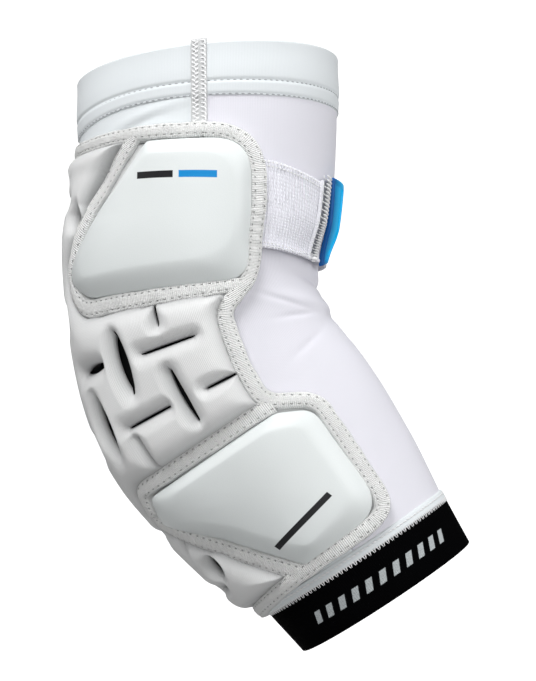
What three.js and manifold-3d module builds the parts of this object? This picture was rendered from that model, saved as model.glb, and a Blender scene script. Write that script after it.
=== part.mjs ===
// Lacrosse arm pad: a bent compression sleeve that carries a padded elbow guard.
// Every sewn piece is a flat pattern. Its "along" runs down the arm from the elbow row (up is negative),
// its "across" runs round the arm from the outward side line, and "height" stands off the sleeve's skin.
// +X is the front of the arm, -Y the outward side that carries the guards, +Z up. Lengths are millimetres.
import * as THREE from "three";
import { mergeVertices } from "three/addons/utils/BufferGeometryUtils.js";
import Module from "manifold-3d";

const wasm = await Module();
wasm.setup();

// Arm form
const upperLength = 114;
const foreLength = 142;
const bendLength = 86;
const upperLean = -4;
const foreLean = 33;
const hemTilt = 10;
const elbowDepth = 104;
const elbowBreadth = 90;

// Sleeve
const sleeveWall = 1.2;
const hemHeight = 22;
const hemProud = 0.6;
const cuffHeight = 21;
const cuffProud = 0.6;
const cuffSeamHeight = 4;
const sideSeamWidth = 6.5;
const sideSeamThickness = 0.5;
const sideSeamTurn = 88;
const frontPanelSpan = 184;
const ringColumns = 36;
const fit = 0.3;

// Padding, upward from the sleeve
const linerLift = 0.5;
const linerThickness = 0.5;
const tapeThickness = 3.6;
const tapeWidth = 7;
const lobeEdge = 5.5;
const lobeCrown = 11.5;
const guardEdge = 5.4;
const guardPlateau = 11.5;
const guardBevel = 8;

// Outline of the pad
const padBelowHem = 15.5;
const padAboveCuff = 7.5;
const nearReach = 21;
const waistReach = 2;
const farReach = 46;
const farFootReach = 40.5;
const farRound = 21;
const slitPitch = 20;
const slitLength = 22;
const slitRow = 8;
const slitWidth = 1.8;
const lobeRound = 6.5;

// Strap
const strapWidth = 37;
const strapHead = 63;
const strapThickness = 1.5;
const strapReach = 60;
const barWidth = 3;
const barThickness = 1.6;
const tabLength = 17;
const tabThickness = 1.6;

// Sections of the arm: along as a share of the upper or fore length, depths as shares of the elbow's depth,
// side as a share of the elbow's breadth.
const sections = [
  { along: -1.0, front: 0.52, back: 0.625, side: 0.59 },
  { along: -0.68, front: 0.54, back: 0.565, side: 0.56 },
  { along: -0.39, front: 0.53, back: 0.515, side: 0.53 },
  { along: -0.13, front: 0.48, back: 0.505, side: 0.51 },
  { along: 0.11, front: 0.5, back: 0.5, side: 0.49 },
  { along: 0.36, front: 0.54, back: 0.485, side: 0.465 },
  { along: 0.61, front: 0.52, back: 0.45, side: 0.43 },
  { along: 0.83, front: 0.48, back: 0.405, side: 0.41 },
  { along: 1.0, front: 0.46, back: 0.365, side: 0.39 },
];

// Folds of the sleeve's cloth: centre and spread along (shares of the fore length), centre and spread round
// the arm (degrees), depth as a share of the elbow's depth.
const folds = [
  { along: -0.05, turn: 168, slant: 0.3, spreadAlong: 0.03, spreadTurn: 34, depth: -0.02 },
  { along: 0.04, turn: 150, slant: 0.24, spreadAlong: 0.035, spreadTurn: 30, depth: 0.01 },
  { along: 0.12, turn: 176, slant: -0.2, spreadAlong: 0.04, spreadTurn: 30, depth: -0.01 },
  { along: -0.05, turn: 200, slant: -0.3, spreadAlong: 0.03, spreadTurn: 30, depth: -0.016 },
  { along: -0.12, turn: 136, slant: 0.2, spreadAlong: 0.03, spreadTurn: 20, depth: 0.006 },
];

// Corners of the pad's lines: along as a share of the pad's height from its head, across and round as
// shares of the reach to the near side.
const padCorners = {
  headNear: { along: 0, across: 1, round: 1 },
  borderFootNear: { along: 0.334, across: 1, round: 0.95 },
  waistHead: { along: 0.408, across: 0.26, round: 0.67 },
  waistFoot: { along: 0.634, across: 0.095, round: 0.43 },
  shoulder: { along: 0.697, across: 0.88, round: 0.57 },
  footNear: { along: 1, across: 0.88, round: 0.76 },
  headDiagonal: { along: 0, across: -1.286, round: 0.43 },
  upperFootNear: { along: 0.35, across: 1, round: 1.05 },
  upperFootFar: { along: 0.35, across: -2.38, round: 0.95 },
  upperTip: { along: 0.276, across: -3.56, round: 0.48 },
  middleDiagonal: { along: 0.163, across: -2.33, round: 1.43 },
  lowerHeadNear: { along: 0.65, across: 0.19, round: 0.29 },
  footDiagonal: { along: 1, across: -1, round: 0.43 },
  lowerTurn: { along: 0.745, across: -3.65, round: 0.43 },
  lowerTip: { along: 0.65, across: -3.65, round: 0.43 },
};

// Corners of the pull tab: along as a share of the strap's width, across and round as shares of its length.
const tabCorners = [
  { along: 0.03, across: 0, round: 0.06 },
  { along: 0.04, across: 1, round: 0.24 },
  { along: 0.73, across: 0.94, round: 0.24 },
  { along: 1.08, across: 0.59, round: 0.12 },
  { along: 1.08, across: 0, round: 0.06 },
];

// Slits that stand open wider than the rest, by lattice node.
const wideSlits = [
  { row: 0, column: 2, open: 3 },
  { row: 1, column: 3, open: 2.4 },
  { row: 1, column: 1, open: 1.3 },
];

const RAD = Math.PI / 180;
const padBase = linerLift + linerThickness + fit;
const foamBase = padBase + fit;
const tapeTop = padBase + tapeThickness;
const halfTape = tapeWidth / 2;
const hemFoot = hemHeight - upperLength;
const cuffHead = foreLength - cuffHeight;
const padHead = hemFoot + padBelowHem;
const padFoot = cuffHead - padAboveCuff;
const padHeight = padFoot - padHead;
const tapeEdge = tapeTop - tapeThickness / 3;

const white = cloth(0xe9ecee, 0.85);
const knit = cloth(0xdedde8, 0.9);
const grosgrain = cloth(0xf1f1ee, 0.8);
const foam = cloth(0xe4e6e6, 0.75);
const shell = cloth(0xe3e9e8, 0.55);
const black = cloth(0x101012, 0.85);
const webbing = cloth(0xdcdcea, 0.9);
const blue = cloth(0x0a86d6, 0.5);

function cloth(color, roughness) {
  return new THREE.MeshStandardMaterial({ color, roughness, metalness: 0 });
}

// A column of the section table at any place along the arm, on a smooth curve through its rows.
function sectionValue(column, along) {
  const place = sections.map((row) => row.along * (row.along < 0 ? upperLength : foreLength));
  const last = sections.length - 1;
  const at = THREE.MathUtils.clamp(along, place[0], place[last]);
  let i = 0;
  while (i < last - 1 && at > place[i + 1]) i++;
  const slope = (k) => {
    const low = Math.max(k - 1, 0);
    const high = Math.min(k + 1, last);
    return (sections[high][column] - sections[low][column]) / (place[high] - place[low]);
  };
  const span = place[i + 1] - place[i];
  const t = (at - place[i]) / span;
  const a = sections[i][column];
  const b = sections[i + 1][column];
  return (
    (2 * t ** 3 - 3 * t ** 2 + 1) * a +
    (t ** 3 - 2 * t ** 2 + t) * span * slope(i) +
    (3 * t ** 2 - 2 * t ** 3) * b +
    (t ** 3 - t ** 2) * span * slope(i + 1)
  );
}

// Centre line: a straight upper arm, an arc through the elbow and a straight forearm.
function centreLine(along) {
  const bend = (foreLean - upperLean) * RAD;
  const middle = ((upperLean + foreLean) / 2) * RAD;
  const radius = bendLength / bend;
  const onArc = THREE.MathUtils.clamp(along, -bendLength / 2, bendLength / 2);
  const lean = middle + onArc / radius;
  const straight = along - onArc;
  return {
    x: (Math.cos(middle) - Math.cos(lean)) * radius + straight * Math.sin(lean),
    z: (Math.sin(middle) - Math.sin(lean)) * radius - straight * Math.cos(lean),
    lean,
  };
}

function sectionTilt(along) {
  const fade = THREE.MathUtils.clamp(-along / upperLength, 0, 1);
  return hemTilt * RAD * fade ** 1.5;
}

// A point at a height over the sleeve's skin; turn is 0 at the back of the elbow, 90 outward, 180 in front.
function skin(along, turn, height) {
  const { x, z, lean } = centreLine(along);
  const tilt = lean + sectionTilt(along);
  const front = sectionValue("front", along) * elbowDepth;
  const back = sectionValue("back", along) * elbowDepth;
  const side = sectionValue("side", along) * elbowBreadth;
  const depth = (front + back) / 2;
  const c = -Math.cos(turn * RAD);
  const s = Math.sin(turn * RAD);
  const length = Math.hypot(c / depth, s / side);
  const forward = (front - back) / 2 + depth * c + (height * c) / depth / length;
  const outward = side * s + (height * s) / side / length;
  return new THREE.Vector3(x + forward * Math.cos(tilt), -outward, z + forward * Math.sin(tilt));
}

function meanRadius(along) {
  const depth = (sectionValue("front", along) + sectionValue("back", along)) * elbowDepth;
  return depth / 4 + (sectionValue("side", along) * elbowBreadth) / 2;
}

function turnOf(along, across) {
  return 90 + across / meanRadius(along) / RAD;
}

function acrossOf(along, turn) {
  return (turn - 90) * RAD * meanRadius(along);
}

function pattern(along, across, height) {
  return skin(along, turnOf(along, across), height);
}

function foldHeight(along, turn) {
  let height = 0;
  for (const fold of folds) {
    const row = fold.along * foreLength + fold.slant * (turn - fold.turn);
    const a = (along - row) / (fold.spreadAlong * foreLength);
    const b = (turn - fold.turn) / fold.spreadTurn;
    height += fold.depth * elbowDepth * Math.exp(-a * a - b * b);
  }
  return height;
}

// A closed solid between an under and an upper sheet of rows by columns. pointAt(row, column, upper) places
// each corner, keep(row, column) says which squares are there, and a closed sheet joins its last column
// to its first.
function sheetSolid(name, material, rows, columns, pointAt, options = {}) {
  const { closed = false, keep = () => true } = options;
  const across = closed ? columns : columns + 1;
  const perSheet = (rows + 1) * across;
  const positions = [];
  for (const upper of [false, true]) {
    for (let r = 0; r <= rows; r++) {
      for (let c = 0; c < across; c++) positions.push(...pointAt(r, c, upper).toArray());
    }
  }
  const corner = (r, c, upper) => (upper ? perSheet : 0) + r * across + (closed ? c % columns : c);
  const there = (r, c) => {
    if (r < 0 || r >= rows) return false;
    if (!closed && (c < 0 || c >= columns)) return false;
    return keep(r, (c + columns) % columns);
  };
  const faces = [];
  const square = (a, b, c, d) => faces.push([a, b, c], [a, c, d]);
  for (let r = 0; r < rows; r++) {
    for (let c = 0; c < columns; c++) {
      if (!there(r, c)) continue;
      const up = [corner(r, c, true), corner(r + 1, c, true), corner(r + 1, c + 1, true), corner(r, c + 1, true)];
      const low = up.map((v) => v - perSheet);
      square(...up);
      square(...[...low].reverse());
      const neighbours = [there(r, c - 1), there(r + 1, c), there(r, c + 1), there(r - 1, c)];
      neighbours.forEach((present, k) => {
        const next = (k + 1) % 4;
        if (!present) square(low[k], low[next], up[next], up[k]);
      });
    }
  }
  return solid(name, material, positions, faces);
}

// A named mesh from corners and triangles, facing out, without the triangles that have no area.
function solid(name, material, positions, faces) {
  const key = (v) => positions.slice(3 * v, 3 * v + 3).map((value) => value.toFixed(5)).join();
  const whole = faces.filter((face) => new Set(face.map(key)).size === 3);
  const corner = (v) => new THREE.Vector3().fromArray(positions, 3 * v);
  let volume = 0;
  for (const [a, b, c] of whole) volume += corner(a).dot(corner(b).cross(corner(c)));
  const outward = volume > 0 ? whole : whole.map(([a, b, c]) => [a, c, b]);
  const geometry = new THREE.BufferGeometry();
  geometry.setAttribute("position", new THREE.Float32BufferAttribute(positions, 3));
  geometry.setIndex(outward.flat());
  geometry.computeVertexNormals();
  const mesh = new THREE.Mesh(geometry, material);
  mesh.name = name;
  return mesh;
}

// One mesh with others cut away from it.
function cutAway(mesh, cutters) {
  const manifoldOf = ({ geometry }) => {
    const bare = new THREE.BufferGeometry();
    bare.setAttribute("position", geometry.getAttribute("position"));
    bare.setIndex(geometry.getIndex());
    const merged = mergeVertices(bare.toNonIndexed(), 1e-4);
    return new wasm.Manifold(
      new wasm.Mesh({
        numProp: 3,
        vertProperties: merged.getAttribute("position").array,
        triVerts: new Uint32Array(merged.getIndex().array),
      }),
    );
  };
  const rest = cutters.reduce((body, cutter) => body.subtract(manifoldOf(cutter)), manifoldOf(mesh));
  const made = rest.getMesh();
  const geometry = new THREE.BufferGeometry();
  geometry.setAttribute("position", new THREE.BufferAttribute(made.vertProperties, 3));
  geometry.setIndex(new THREE.BufferAttribute(made.triVerts, 1));
  geometry.computeVertexNormals();
  mesh.geometry = geometry;
  return mesh;
}

// A drawn line through rounded corners { along, across, round }, as evenly spaced points.
function drawLine(corners, step, closed = false) {
  const path = new THREE.Path();
  const count = corners.length;
  const at = (i) => {
    const corner = corners[(i + count) % count];
    return new THREE.Vector2(corner.along, corner.across);
  };
  const cut = (i, toward) => {
    const round = corners[(i + count) % count].round ?? 0;
    const before = at(i - 1).sub(at(i)).normalize();
    const after = at(i + 1).sub(at(i)).normalize();
    const half = Math.acos(THREE.MathUtils.clamp(before.dot(after), -1, 1)) / 2;
    const room = Math.min(at(i).distanceTo(at(i - 1)), at(i).distanceTo(at(i + 1))) * 0.49;
    const length = Math.min(round / Math.tan(half), room);
    return at(i).add((toward < 0 ? before : after).multiplyScalar(length));
  };
  const first = closed ? cut(0, 1) : at(0);
  path.moveTo(first.x, first.y);
  for (let i = 1; i < count + (closed ? 1 : 0); i++) {
    if (!closed && i === count - 1) {
      path.lineTo(at(i).x, at(i).y);
      break;
    }
    const from = cut(i, -1);
    const to = cut(i, 1);
    path.lineTo(from.x, from.y);
    path.quadraticCurveTo(at(i).x, at(i).y, to.x, to.y);
  }
  const pieces = Math.max(4, Math.round(path.getLength() / step));
  const points = path.getSpacedPoints(pieces);
  if (closed) points.pop();
  return points.map((p) => ({ along: p.x, across: p.y }));
}

// The line moved sideways. A positive distance moves a line that runs toward the near side down the arm.
function offsetLine(line, distance, closed = false) {
  return line.map((point, i) => {
    const n = line.length;
    const before = closed ? line[(i + n - 1) % n] : line[Math.max(i - 1, 0)];
    const after = closed ? line[(i + 1) % n] : line[Math.min(i + 1, n - 1)];
    const run = Math.hypot(after.along - before.along, after.across - before.across);
    return {
      along: point.along + (distance * (after.across - before.across)) / run,
      across: point.across - (distance * (after.along - before.along)) / run,
    };
  });
}

// Where a line crosses a row of the pattern, nearest to the far side or to the near side.
function crossing(line, along, pick) {
  const found = [];
  for (let i = 0; i < line.length - 1; i++) {
    const a = line[i];
    const b = line[i + 1];
    if ((a.along - along) * (b.along - along) > 0 || a.along === b.along) continue;
    found.push(a.across + ((b.across - a.across) * (along - a.along)) / (b.along - a.along));
  }
  return pick(...found);
}

// A ring or a part of a ring round the arm, between two rows.
function band(name, material, spec) {
  const { from, to, rows, turnFrom = 0, turnTo = 360, columns, inner, outer } = spec;
  const closed = turnTo - turnFrom === 360;
  return sheetSolid(
    name,
    material,
    rows,
    columns,
    (r, c, upper) => {
      const turn = turnFrom + ((turnTo - turnFrom) * c) / columns;
      const along = from + ((to - from) * r) / rows;
      return skin(along, turn, upper ? outer(along, turn) : inner(along, turn));
    },
    { closed },
  );
}

function sleevePanel(name, material, turnFrom, turnTo) {
  const gap = (0.5 * fit) / RAD / meanRadius(0);
  return band(name, material, {
    from: hemFoot + fit,
    to: cuffHead - cuffSeamHeight - fit,
    rows: 19,
    turnFrom: turnFrom + gap,
    turnTo: turnTo - gap,
    columns: 12,
    inner: (along, turn) => foldHeight(along, turn) - sleeveWall,
    outer: foldHeight,
  });
}

// A flat stitched seam down the sleeve that climbs over the thicker hem.
function sideSeam(name, turn, from, to) {
  const high = fit + hemProud;
  const stations = [
    { along: from, foot: high },
    { along: (from + hemFoot) / 2, foot: high },
    { along: hemFoot + 2 * fit, foot: high },
    { along: hemFoot + 8 * fit, foot: fit },
  ];
  const start = hemFoot + 8 * fit;
  const steps = Math.max(1, Math.round((to - start) / 13));
  for (let i = 1; i <= steps; i++) stations.push({ along: start + ((to - start) * i) / steps, foot: fit });
  const half = sideSeamWidth / 2;
  return sheetSolid(name, white, stations.length - 1, 2, (r, c, upper) => {
    const { along, foot } = stations[r];
    const across = acrossOf(along, turn) + half * (c - 1);
    return pattern(along, across, foot + foldRise(along, turn) + (upper ? sideSeamThickness : 0));
  });
}

function foldRise(along, turn) {
  return Math.max(foldHeight(along, turn), 0);
}

// A binding tape along a drawn line, crowned in the middle.
function tape(name, line, width) {
  const edges = [-width / 2, 0, width / 2].map((d) => offsetLine(line, d));
  return sheetSolid(name, grosgrain, line.length - 1, 2, (r, c, upper) => {
    const { along, across } = edges[c][r];
    const top = c === 1 ? tapeTop : tapeEdge;
    return pattern(along, across, upper ? top : padBase);
  });
}

// A moulded plate inside a closed line. Its rings lie an inset inside the line, then at shares of the way
// out from its middle.
function plate(name, material, outline, foot, levels) {
  const middle = { along: 0, across: 0 };
  for (const point of outline) {
    middle.along += point.along / outline.length;
    middle.across += point.across / outline.length;
  }
  let core = outline;
  const rings = levels.map(({ inset, share }) => {
    if (share === undefined) {
      core = offsetLine(outline, inset, true);
      return core;
    }
    return core.map((point) => ({
      along: middle.along + (point.along - middle.along) * share,
      across: middle.across + (point.across - middle.across) * share,
    }));
  });
  return sheetSolid(
    name,
    material,
    rings.length - 1,
    outline.length,
    (r, c, upper) => pattern(rings[r][c].along, rings[r][c].across, upper ? levels[r].height : foot),
    { closed: true },
  );
}

// The slits of the foam: one at each node of a square lattice, running down the arm and across it in turn.
function slitAt(row, column) {
  const wide = wideSlits.find((slit) => slit.row === row && slit.column === column);
  return {
    along: slitRow + row * slitPitch,
    across: -column * slitPitch,
    downward: (row + column) % 2 === 0,
    half: (slitWidth * (wide?.open ?? 1)) / 2,
  };
}

function nearestSlits(along, across) {
  const row = Math.round((along - slitRow) / slitPitch);
  const column = Math.round(-across / slitPitch);
  const around = [-1, 0, 1];
  return around.flatMap((i) => around.map((j) => slitAt(row + i, column + j)));
}

// How far a point of the pattern lies from the middle line of the closest slit.
function slitDistance(along, across) {
  const away = nearestSlits(along, across).map((slit) => {
    const a = Math.abs(along - slit.along);
    const b = Math.abs(across - slit.across);
    const lengthwise = slit.downward ? a : b;
    const sideways = slit.downward ? b : a;
    return Math.hypot(Math.max(lengthwise - slitLength / 2, 0), sideways);
  });
  return Math.min(...away);
}

function lobeHeight(along, across) {
  const rise = Math.min(slitDistance(along, across) / lobeRound, 1);
  return lobeEdge + (lobeCrown - lobeEdge) * Math.sqrt(1 - (1 - rise) ** 2);
}

// The foam with its slits cut through, between two edge lines.
function slitPanel(name, from, to, nearEdge, farEdge) {
  const half = slitWidth / 2;
  const downLines = latticeLines(from, to, slitRow);
  const farMost = Math.min(farEdge(0), farEdge(from / 2), farEdge(to / 2));
  const acrossLines = latticeLines(farMost, nearEdge(0), 0);
  const lastColumn = acrossLines.length - 1;
  const isCut = (r, c) => {
    if (r === 0 || c === 0 || r === downLines.length - 2 || c === lastColumn - 1) return false;
    const along = (downLines[r] + downLines[r + 1]) / 2;
    const across = (acrossLines[c] + acrossLines[c + 1]) / 2;
    if (acrossLines[c] < Math.max(farEdge(downLines[r]), farEdge(downLines[r + 1])) + 2 * slitWidth) return false;
    return nearestSlits(along, across).some((slit) => {
      const a = Math.abs(along - slit.along);
      const b = Math.abs(across - slit.across);
      return slit.downward ? b < half && a < slitLength / 2 : a < half && b < slitLength / 2;
    });
  };
  return sheetSolid(
    name,
    foam,
    downLines.length - 1,
    lastColumn,
    (r, c, upper) => {
      const along = downLines[r];
      let across = acrossLines[c];
      const lip = nearestSlits(along, across).find(
        (slit) => slit.downward && Math.abs(Math.abs(across - slit.across) - half) < 0.01,
      );
      if (lip) {
        const mouth = Math.max(0, 1 - (Math.abs(along - lip.along) / (slitLength / 2)) ** 2);
        across += Math.sign(across - lip.across) * (lip.half - half) * mouth;
      }
      if (c === lastColumn) across = nearEdge(along);
      across = Math.max(across, farEdge(along));
      return pattern(along, across, upper ? lobeHeight(along, across) : foamBase);
    },
    { keep: (r, c) => !isCut(r, c) },
  );
}

// Grid lines for the lattice: both lips of the slits at each node and the ends of their neighbours.
function latticeLines(from, to, origin) {
  const half = slitWidth / 2;
  const reach = slitLength / 2;
  const closest = 1.2;
  const lines = [from, to];
  const first = Math.floor((from - origin) / slitPitch);
  const last = Math.ceil((to - origin) / slitPitch);
  for (let n = first; n <= last; n++) {
    for (const off of [-half, half, slitPitch - reach, reach]) {
      const line = origin + n * slitPitch + off;
      if (line > from + closest && line < to - closest) lines.push(line);
    }
  }
  return lines.sort((a, b) => a - b);
}

const part = new THREE.Group();
part.name = "lacrosse_arm_pad";

// The sleeve: two knit panels joined by flat side seams, a folded hem above and a black cuff below.
const farSeamTurn = sideSeamTurn + frontPanelSpan;
part.add(sleevePanel("sleeve_back_panel", white, farSeamTurn - 360, sideSeamTurn));
part.add(sleevePanel("sleeve_front_panel", knit, sideSeamTurn, farSeamTurn));
part.add(
  band("top_hem", white, {
    from: -upperLength,
    to: hemFoot,
    rows: 2,
    columns: ringColumns,
    inner: () => -sleeveWall,
    outer: () => hemProud,
  }),
);
part.add(
  band("cuff_seam", knit, {
    from: cuffHead - cuffSeamHeight,
    to: cuffHead - fit,
    rows: 1,
    columns: ringColumns,
    inner: () => -sleeveWall,
    outer: () => cuffProud,
  }),
);
part.add(
  band("wrist_cuff", black, {
    from: cuffHead,
    to: foreLength,
    rows: 1,
    columns: ringColumns,
    inner: () => -sleeveWall,
    outer: () => cuffProud,
  }),
);

// Lines that the padding is drawn on. The guards' loops and the border share their corners.
const backOf = (along) => acrossOf(along, 0);
const tapeStep = 7;
const loopStep = 6.5;
const seat = halfTape + fit;
const cornerAt = (name) => {
  const { along, across, round } = padCorners[name];
  return { along: padHead + along * padHeight, across: across * nearReach, round: round * nearReach };
};
const nearBorder = drawLine(
  [
    { along: padHead, across: backOf(padHead) + fit / 2 },
    ...["headNear", "borderFootNear", "waistHead", "waistFoot", "shoulder", "footNear"].map(cornerAt),
    { along: padFoot, across: backOf(padFoot) + fit / 2 },
  ],
  tapeStep,
);
const farBorder = drawLine(
  [
    { along: padHead, across: backOf(padHead) - fit / 2 },
    { along: padHead, across: backOf(padHead) - farReach, round: farRound },
    { along: padFoot, across: backOf(padFoot) - farFootReach, round: farRound },
    { along: padFoot, across: backOf(padFoot) - fit / 2 },
  ],
  tapeStep,
);
const guardLoop = (names) => drawLine(names.map(cornerAt), loopStep, true);
const upperLoop = guardLoop([
  "headDiagonal",
  "headNear",
  "upperFootNear",
  "upperFootFar",
  "upperTip",
  "middleDiagonal",
]);
const lowerLoop = guardLoop([
  "lowerHeadNear",
  "shoulder",
  "footNear",
  "footDiagonal",
  "lowerTurn",
  "lowerTip",
]);
const nearInner = offsetLine(nearBorder, seat);
const farInner = offsetLine(farBorder, -seat);

function distanceTo(line, point) {
  return Math.min(...line.map((p) => Math.hypot(p.along - point.along, p.across - point.across)));
}

// The stretch of a guard's loop that the border doesn't already bind, trimmed to meet the border's edge.
function inwardStretch(loop) {
  const reach = tapeWidth + fit;
  const fineBorder = nearBorder.flatMap((p, i) => {
    const next = nearBorder[Math.min(i + 1, nearBorder.length - 1)];
    return [0, 0.25, 0.5, 0.75].map((t) => between(p, next, t));
  });
  const isFree = (point) => distanceTo(fineBorder, point) > reach;
  const free = loop.map(isFree);
  const count = loop.length;
  const start = free.findIndex((now, i) => now && !free[(i + count - 1) % count]);
  const turned = [...loop.slice(start), ...loop.slice(0, start)];
  const end = turned.findIndex((point) => !isFree(point));
  const trim = (inside, outside) => {
    let low = 0;
    for (let step = 0.5; step > 0.02; step /= 2) if (isFree(between(inside, outside, low + step))) low += step;
    return between(inside, outside, low);
  };
  const head = trim(turned[0], turned[count - 1]);
  const foot = trim(turned[end - 1], turned[end]);
  return [head, ...turned.slice(1, end - 1), foot];
}

function between(a, b, t) {
  return { along: a.along + (b.along - a.along) * t, across: a.across + (b.across - a.across) * t };
}

// Side seams, with the outward one running under the pad's top edge.
part.add(sideSeam("side_seam_near", sideSeamTurn, -upperLength, padHead - seat));
part.add(sideSeam("side_seam_far", farSeamTurn, -upperLength, cuffHead - cuffSeamHeight - fit));

// Black liner under all the padding, seen through the slits.
const linerRows = 18;
const linerColumns = 18;
const farEdge = (along) => crossing(farBorder, along, Math.min);
const linerReach = farEdge(0);
part.add(
  sheetSolid("pad_liner", black, linerRows, linerColumns, (r, c, upper) => {
    const along = padHead + fit + ((padFoot - padHead - 2 * fit) * r) / linerRows;
    const line = linerReach + ((nearReach - linerReach) * c) / linerColumns;
    const near = crossing(nearBorder, along, Math.max);
    const across = THREE.MathUtils.clamp(line, farEdge(along), near);
    return pattern(along, across, upper ? linerLift + linerThickness : linerLift);
  }),
);

part.add(tape("border_tape_near", nearBorder, tapeWidth));
part.add(tape("border_tape_far", farBorder, tapeWidth));
part.add(tape("upper_guard_tape", inwardStretch(upperLoop), tapeWidth));
part.add(tape("lower_guard_tape", inwardStretch(lowerLoop), tapeWidth));

// Moulded guards.
const guardOutline = (loop) => offsetLine(loop, seat + fit, true);
const guardRise = guardPlateau - guardEdge;
const guardLevels = [
  { inset: 0, height: guardEdge },
  { inset: guardBevel / 8, height: guardEdge + 0.3 * guardRise },
  { inset: guardBevel / 3, height: guardEdge + 0.66 * guardRise },
  { share: 0.83, height: guardPlateau },
  { share: 0.55, height: guardPlateau },
  { share: 0.27, height: guardPlateau },
  { share: 0, height: guardPlateau },
];
part.add(plate("upper_guard", shell, guardOutline(upperLoop), foamBase, guardLevels));
part.add(plate("lower_guard", shell, guardOutline(lowerLoop), foamBase, guardLevels));

// Slit foam over the elbow and up and down the back of the arm, cut out round both guards.
const flexHead = cornerAt("upperFootNear").along;
const flexFoot = cornerAt("lowerHeadNear").along;
const flexNear = (along) => {
  const isWaist = along > flexHead + halfTape && along < flexFoot - halfTape;
  return isWaist ? crossing(nearInner, along, Math.max) - fit : -slitPitch / 2;
};
const flexFar = (along) => crossing(farInner, along, Math.min);
const roomHeight = 2 * guardPlateau;
const guardRoom = (loop) =>
  plate(
    "guard_room",
    shell,
    offsetLine(loop, -seat - 2 * fit, true),
    -guardPlateau,
    [1, 0.66, 0.33, 0].map((share) => ({ share, height: roomHeight })),
  );
part.add(
  cutAway(slitPanel("flex_panel", padHead + seat, padFoot - seat, flexNear, flexFar), [
    guardRoom(upperLoop),
    guardRoom(lowerLoop),
  ]),
);

// Elastic strap from the near border over the front, and its hidden half from there to the far border.
const strapTop = padBase + strapThickness;
const strapTurn = turnOf(-strapHead, strapReach);
const borderOuter = offsetLine(nearBorder, -seat - fit);
const farOuter = offsetLine(farBorder, seat + fit);
const strapRows = 3;
const strapColumns = 10;
part.add(
  sheetSolid("elastic_strap", webbing, strapRows, strapColumns, (r, c, upper) => {
    const along = -strapHead + (strapWidth * r) / strapRows;
    const start = turnOf(along, crossing(borderOuter, along, Math.max));
    const turn = start + ((strapTurn - start) * c) / strapColumns;
    return skin(along, turn, upper ? strapTop : padBase);
  }),
);
part.add(
  sheetSolid("strap_far_band", webbing, strapRows, strapColumns + 4, (r, c, upper) => {
    const along = -strapHead + (strapWidth * r) / strapRows;
    const start = strapTurn + fit / RAD / meanRadius(along);
    const end = turnOf(along, crossing(farOuter, along, Math.min)) + 360;
    const turn = start + ((end - start) * c) / (strapColumns + 4);
    return skin(along, turn, upper ? strapTop : padBase);
  }),
);
const barFoot = strapTop + fit;
const barTop = barFoot + barThickness;
const barEdge = barTop - barThickness / 4;
const barRows = 4;
part.add(
  sheetSolid("strap_end_bar", webbing, barRows, 2, (r, c, upper) => {
    const along = -strapHead + fit + ((strapWidth - 2 * fit) * r) / barRows;
    const across = acrossOf(along, strapTurn) + barWidth * (c / 2 - 1);
    const top = c === 1 ? barTop : barEdge;
    return pattern(along, across, upper ? top : barFoot);
  }),
);
const tabStart = acrossOf(-strapHead, strapTurn) + fit;
const tabStep = 5;
const tabTop = barFoot + tabThickness;
const tabOutline = drawLine(
  tabCorners.map(({ along, across, round }) => ({
    along: along * strapWidth - strapHead,
    across: tabStart + across * tabLength,
    round: round * tabLength,
  })),
  tabStep,
  true,
);
part.add(
  plate("strap_pull_tab", blue, tabOutline, barFoot, [
    { inset: 0, height: tabTop - tabThickness * 0.4 },
    { inset: tabThickness * 0.75, height: tabTop },
    { share: 0.5, height: tabTop },
    { share: 0, height: tabTop },
  ]),
);

export default part;
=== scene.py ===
"""Looks of a lacrosse arm pad: a bent compression sleeve with a padded elbow guard sewn on it.

Every sewn piece is modelled flat, as its pattern is cut, and is then wrapped round the arm. On a pattern
x runs down the arm from the elbow row, y runs round the arm from the outward side line, and z stands off
the sleeve's skin, all in millimetres. Wrapping turns them into metres in the frame of the solids.
"""
import math
import bpy
import numpy as np
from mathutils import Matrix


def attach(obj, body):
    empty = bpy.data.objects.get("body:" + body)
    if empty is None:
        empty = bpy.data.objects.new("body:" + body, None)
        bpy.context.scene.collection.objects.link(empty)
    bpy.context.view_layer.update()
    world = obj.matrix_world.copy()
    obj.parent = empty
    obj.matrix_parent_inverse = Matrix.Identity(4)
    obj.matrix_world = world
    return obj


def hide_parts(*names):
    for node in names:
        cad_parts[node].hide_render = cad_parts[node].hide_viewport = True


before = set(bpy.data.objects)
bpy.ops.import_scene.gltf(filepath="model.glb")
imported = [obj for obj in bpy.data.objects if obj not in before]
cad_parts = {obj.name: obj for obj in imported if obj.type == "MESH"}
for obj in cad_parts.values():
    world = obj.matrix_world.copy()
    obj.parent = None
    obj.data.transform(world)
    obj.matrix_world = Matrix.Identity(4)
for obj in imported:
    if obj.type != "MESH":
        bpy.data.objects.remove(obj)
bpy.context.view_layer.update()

# Sizes of the arm and of the sewn pieces, in millimetres, close to those of the solids.
UPPER_LENGTH = 114.0
FORE_LENGTH = 142.0
BEND_LENGTH = 86.0
UPPER_LEAN = math.radians(-4)
FORE_LEAN = math.radians(33)
HEM_TILT = math.radians(10)
ELBOW_DEPTH = 104.0
ELBOW_BREADTH = 90.0
SLEEVE_WALL = 1.2
HEM_HEIGHT = 22.0
CUFF_HEIGHT = 21.0
CUFF_SEAM_HEIGHT = 4.0
SIDE_SEAM_WIDTH = 6.5
NEAR_SEAM_TURN = 88.0
FAR_SEAM_TURN = 272.0
LINER_HEIGHT = 1.0
PAD_BASE = 1.3
TAPE_TOP = 4.9
TAPE_WIDTH = 7.6
TAPE_COLUMNS = 18
LINE_STEP = 1.3
GUARD_STEP = 1.2
BORDER_WIDTH = 7.0
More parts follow.
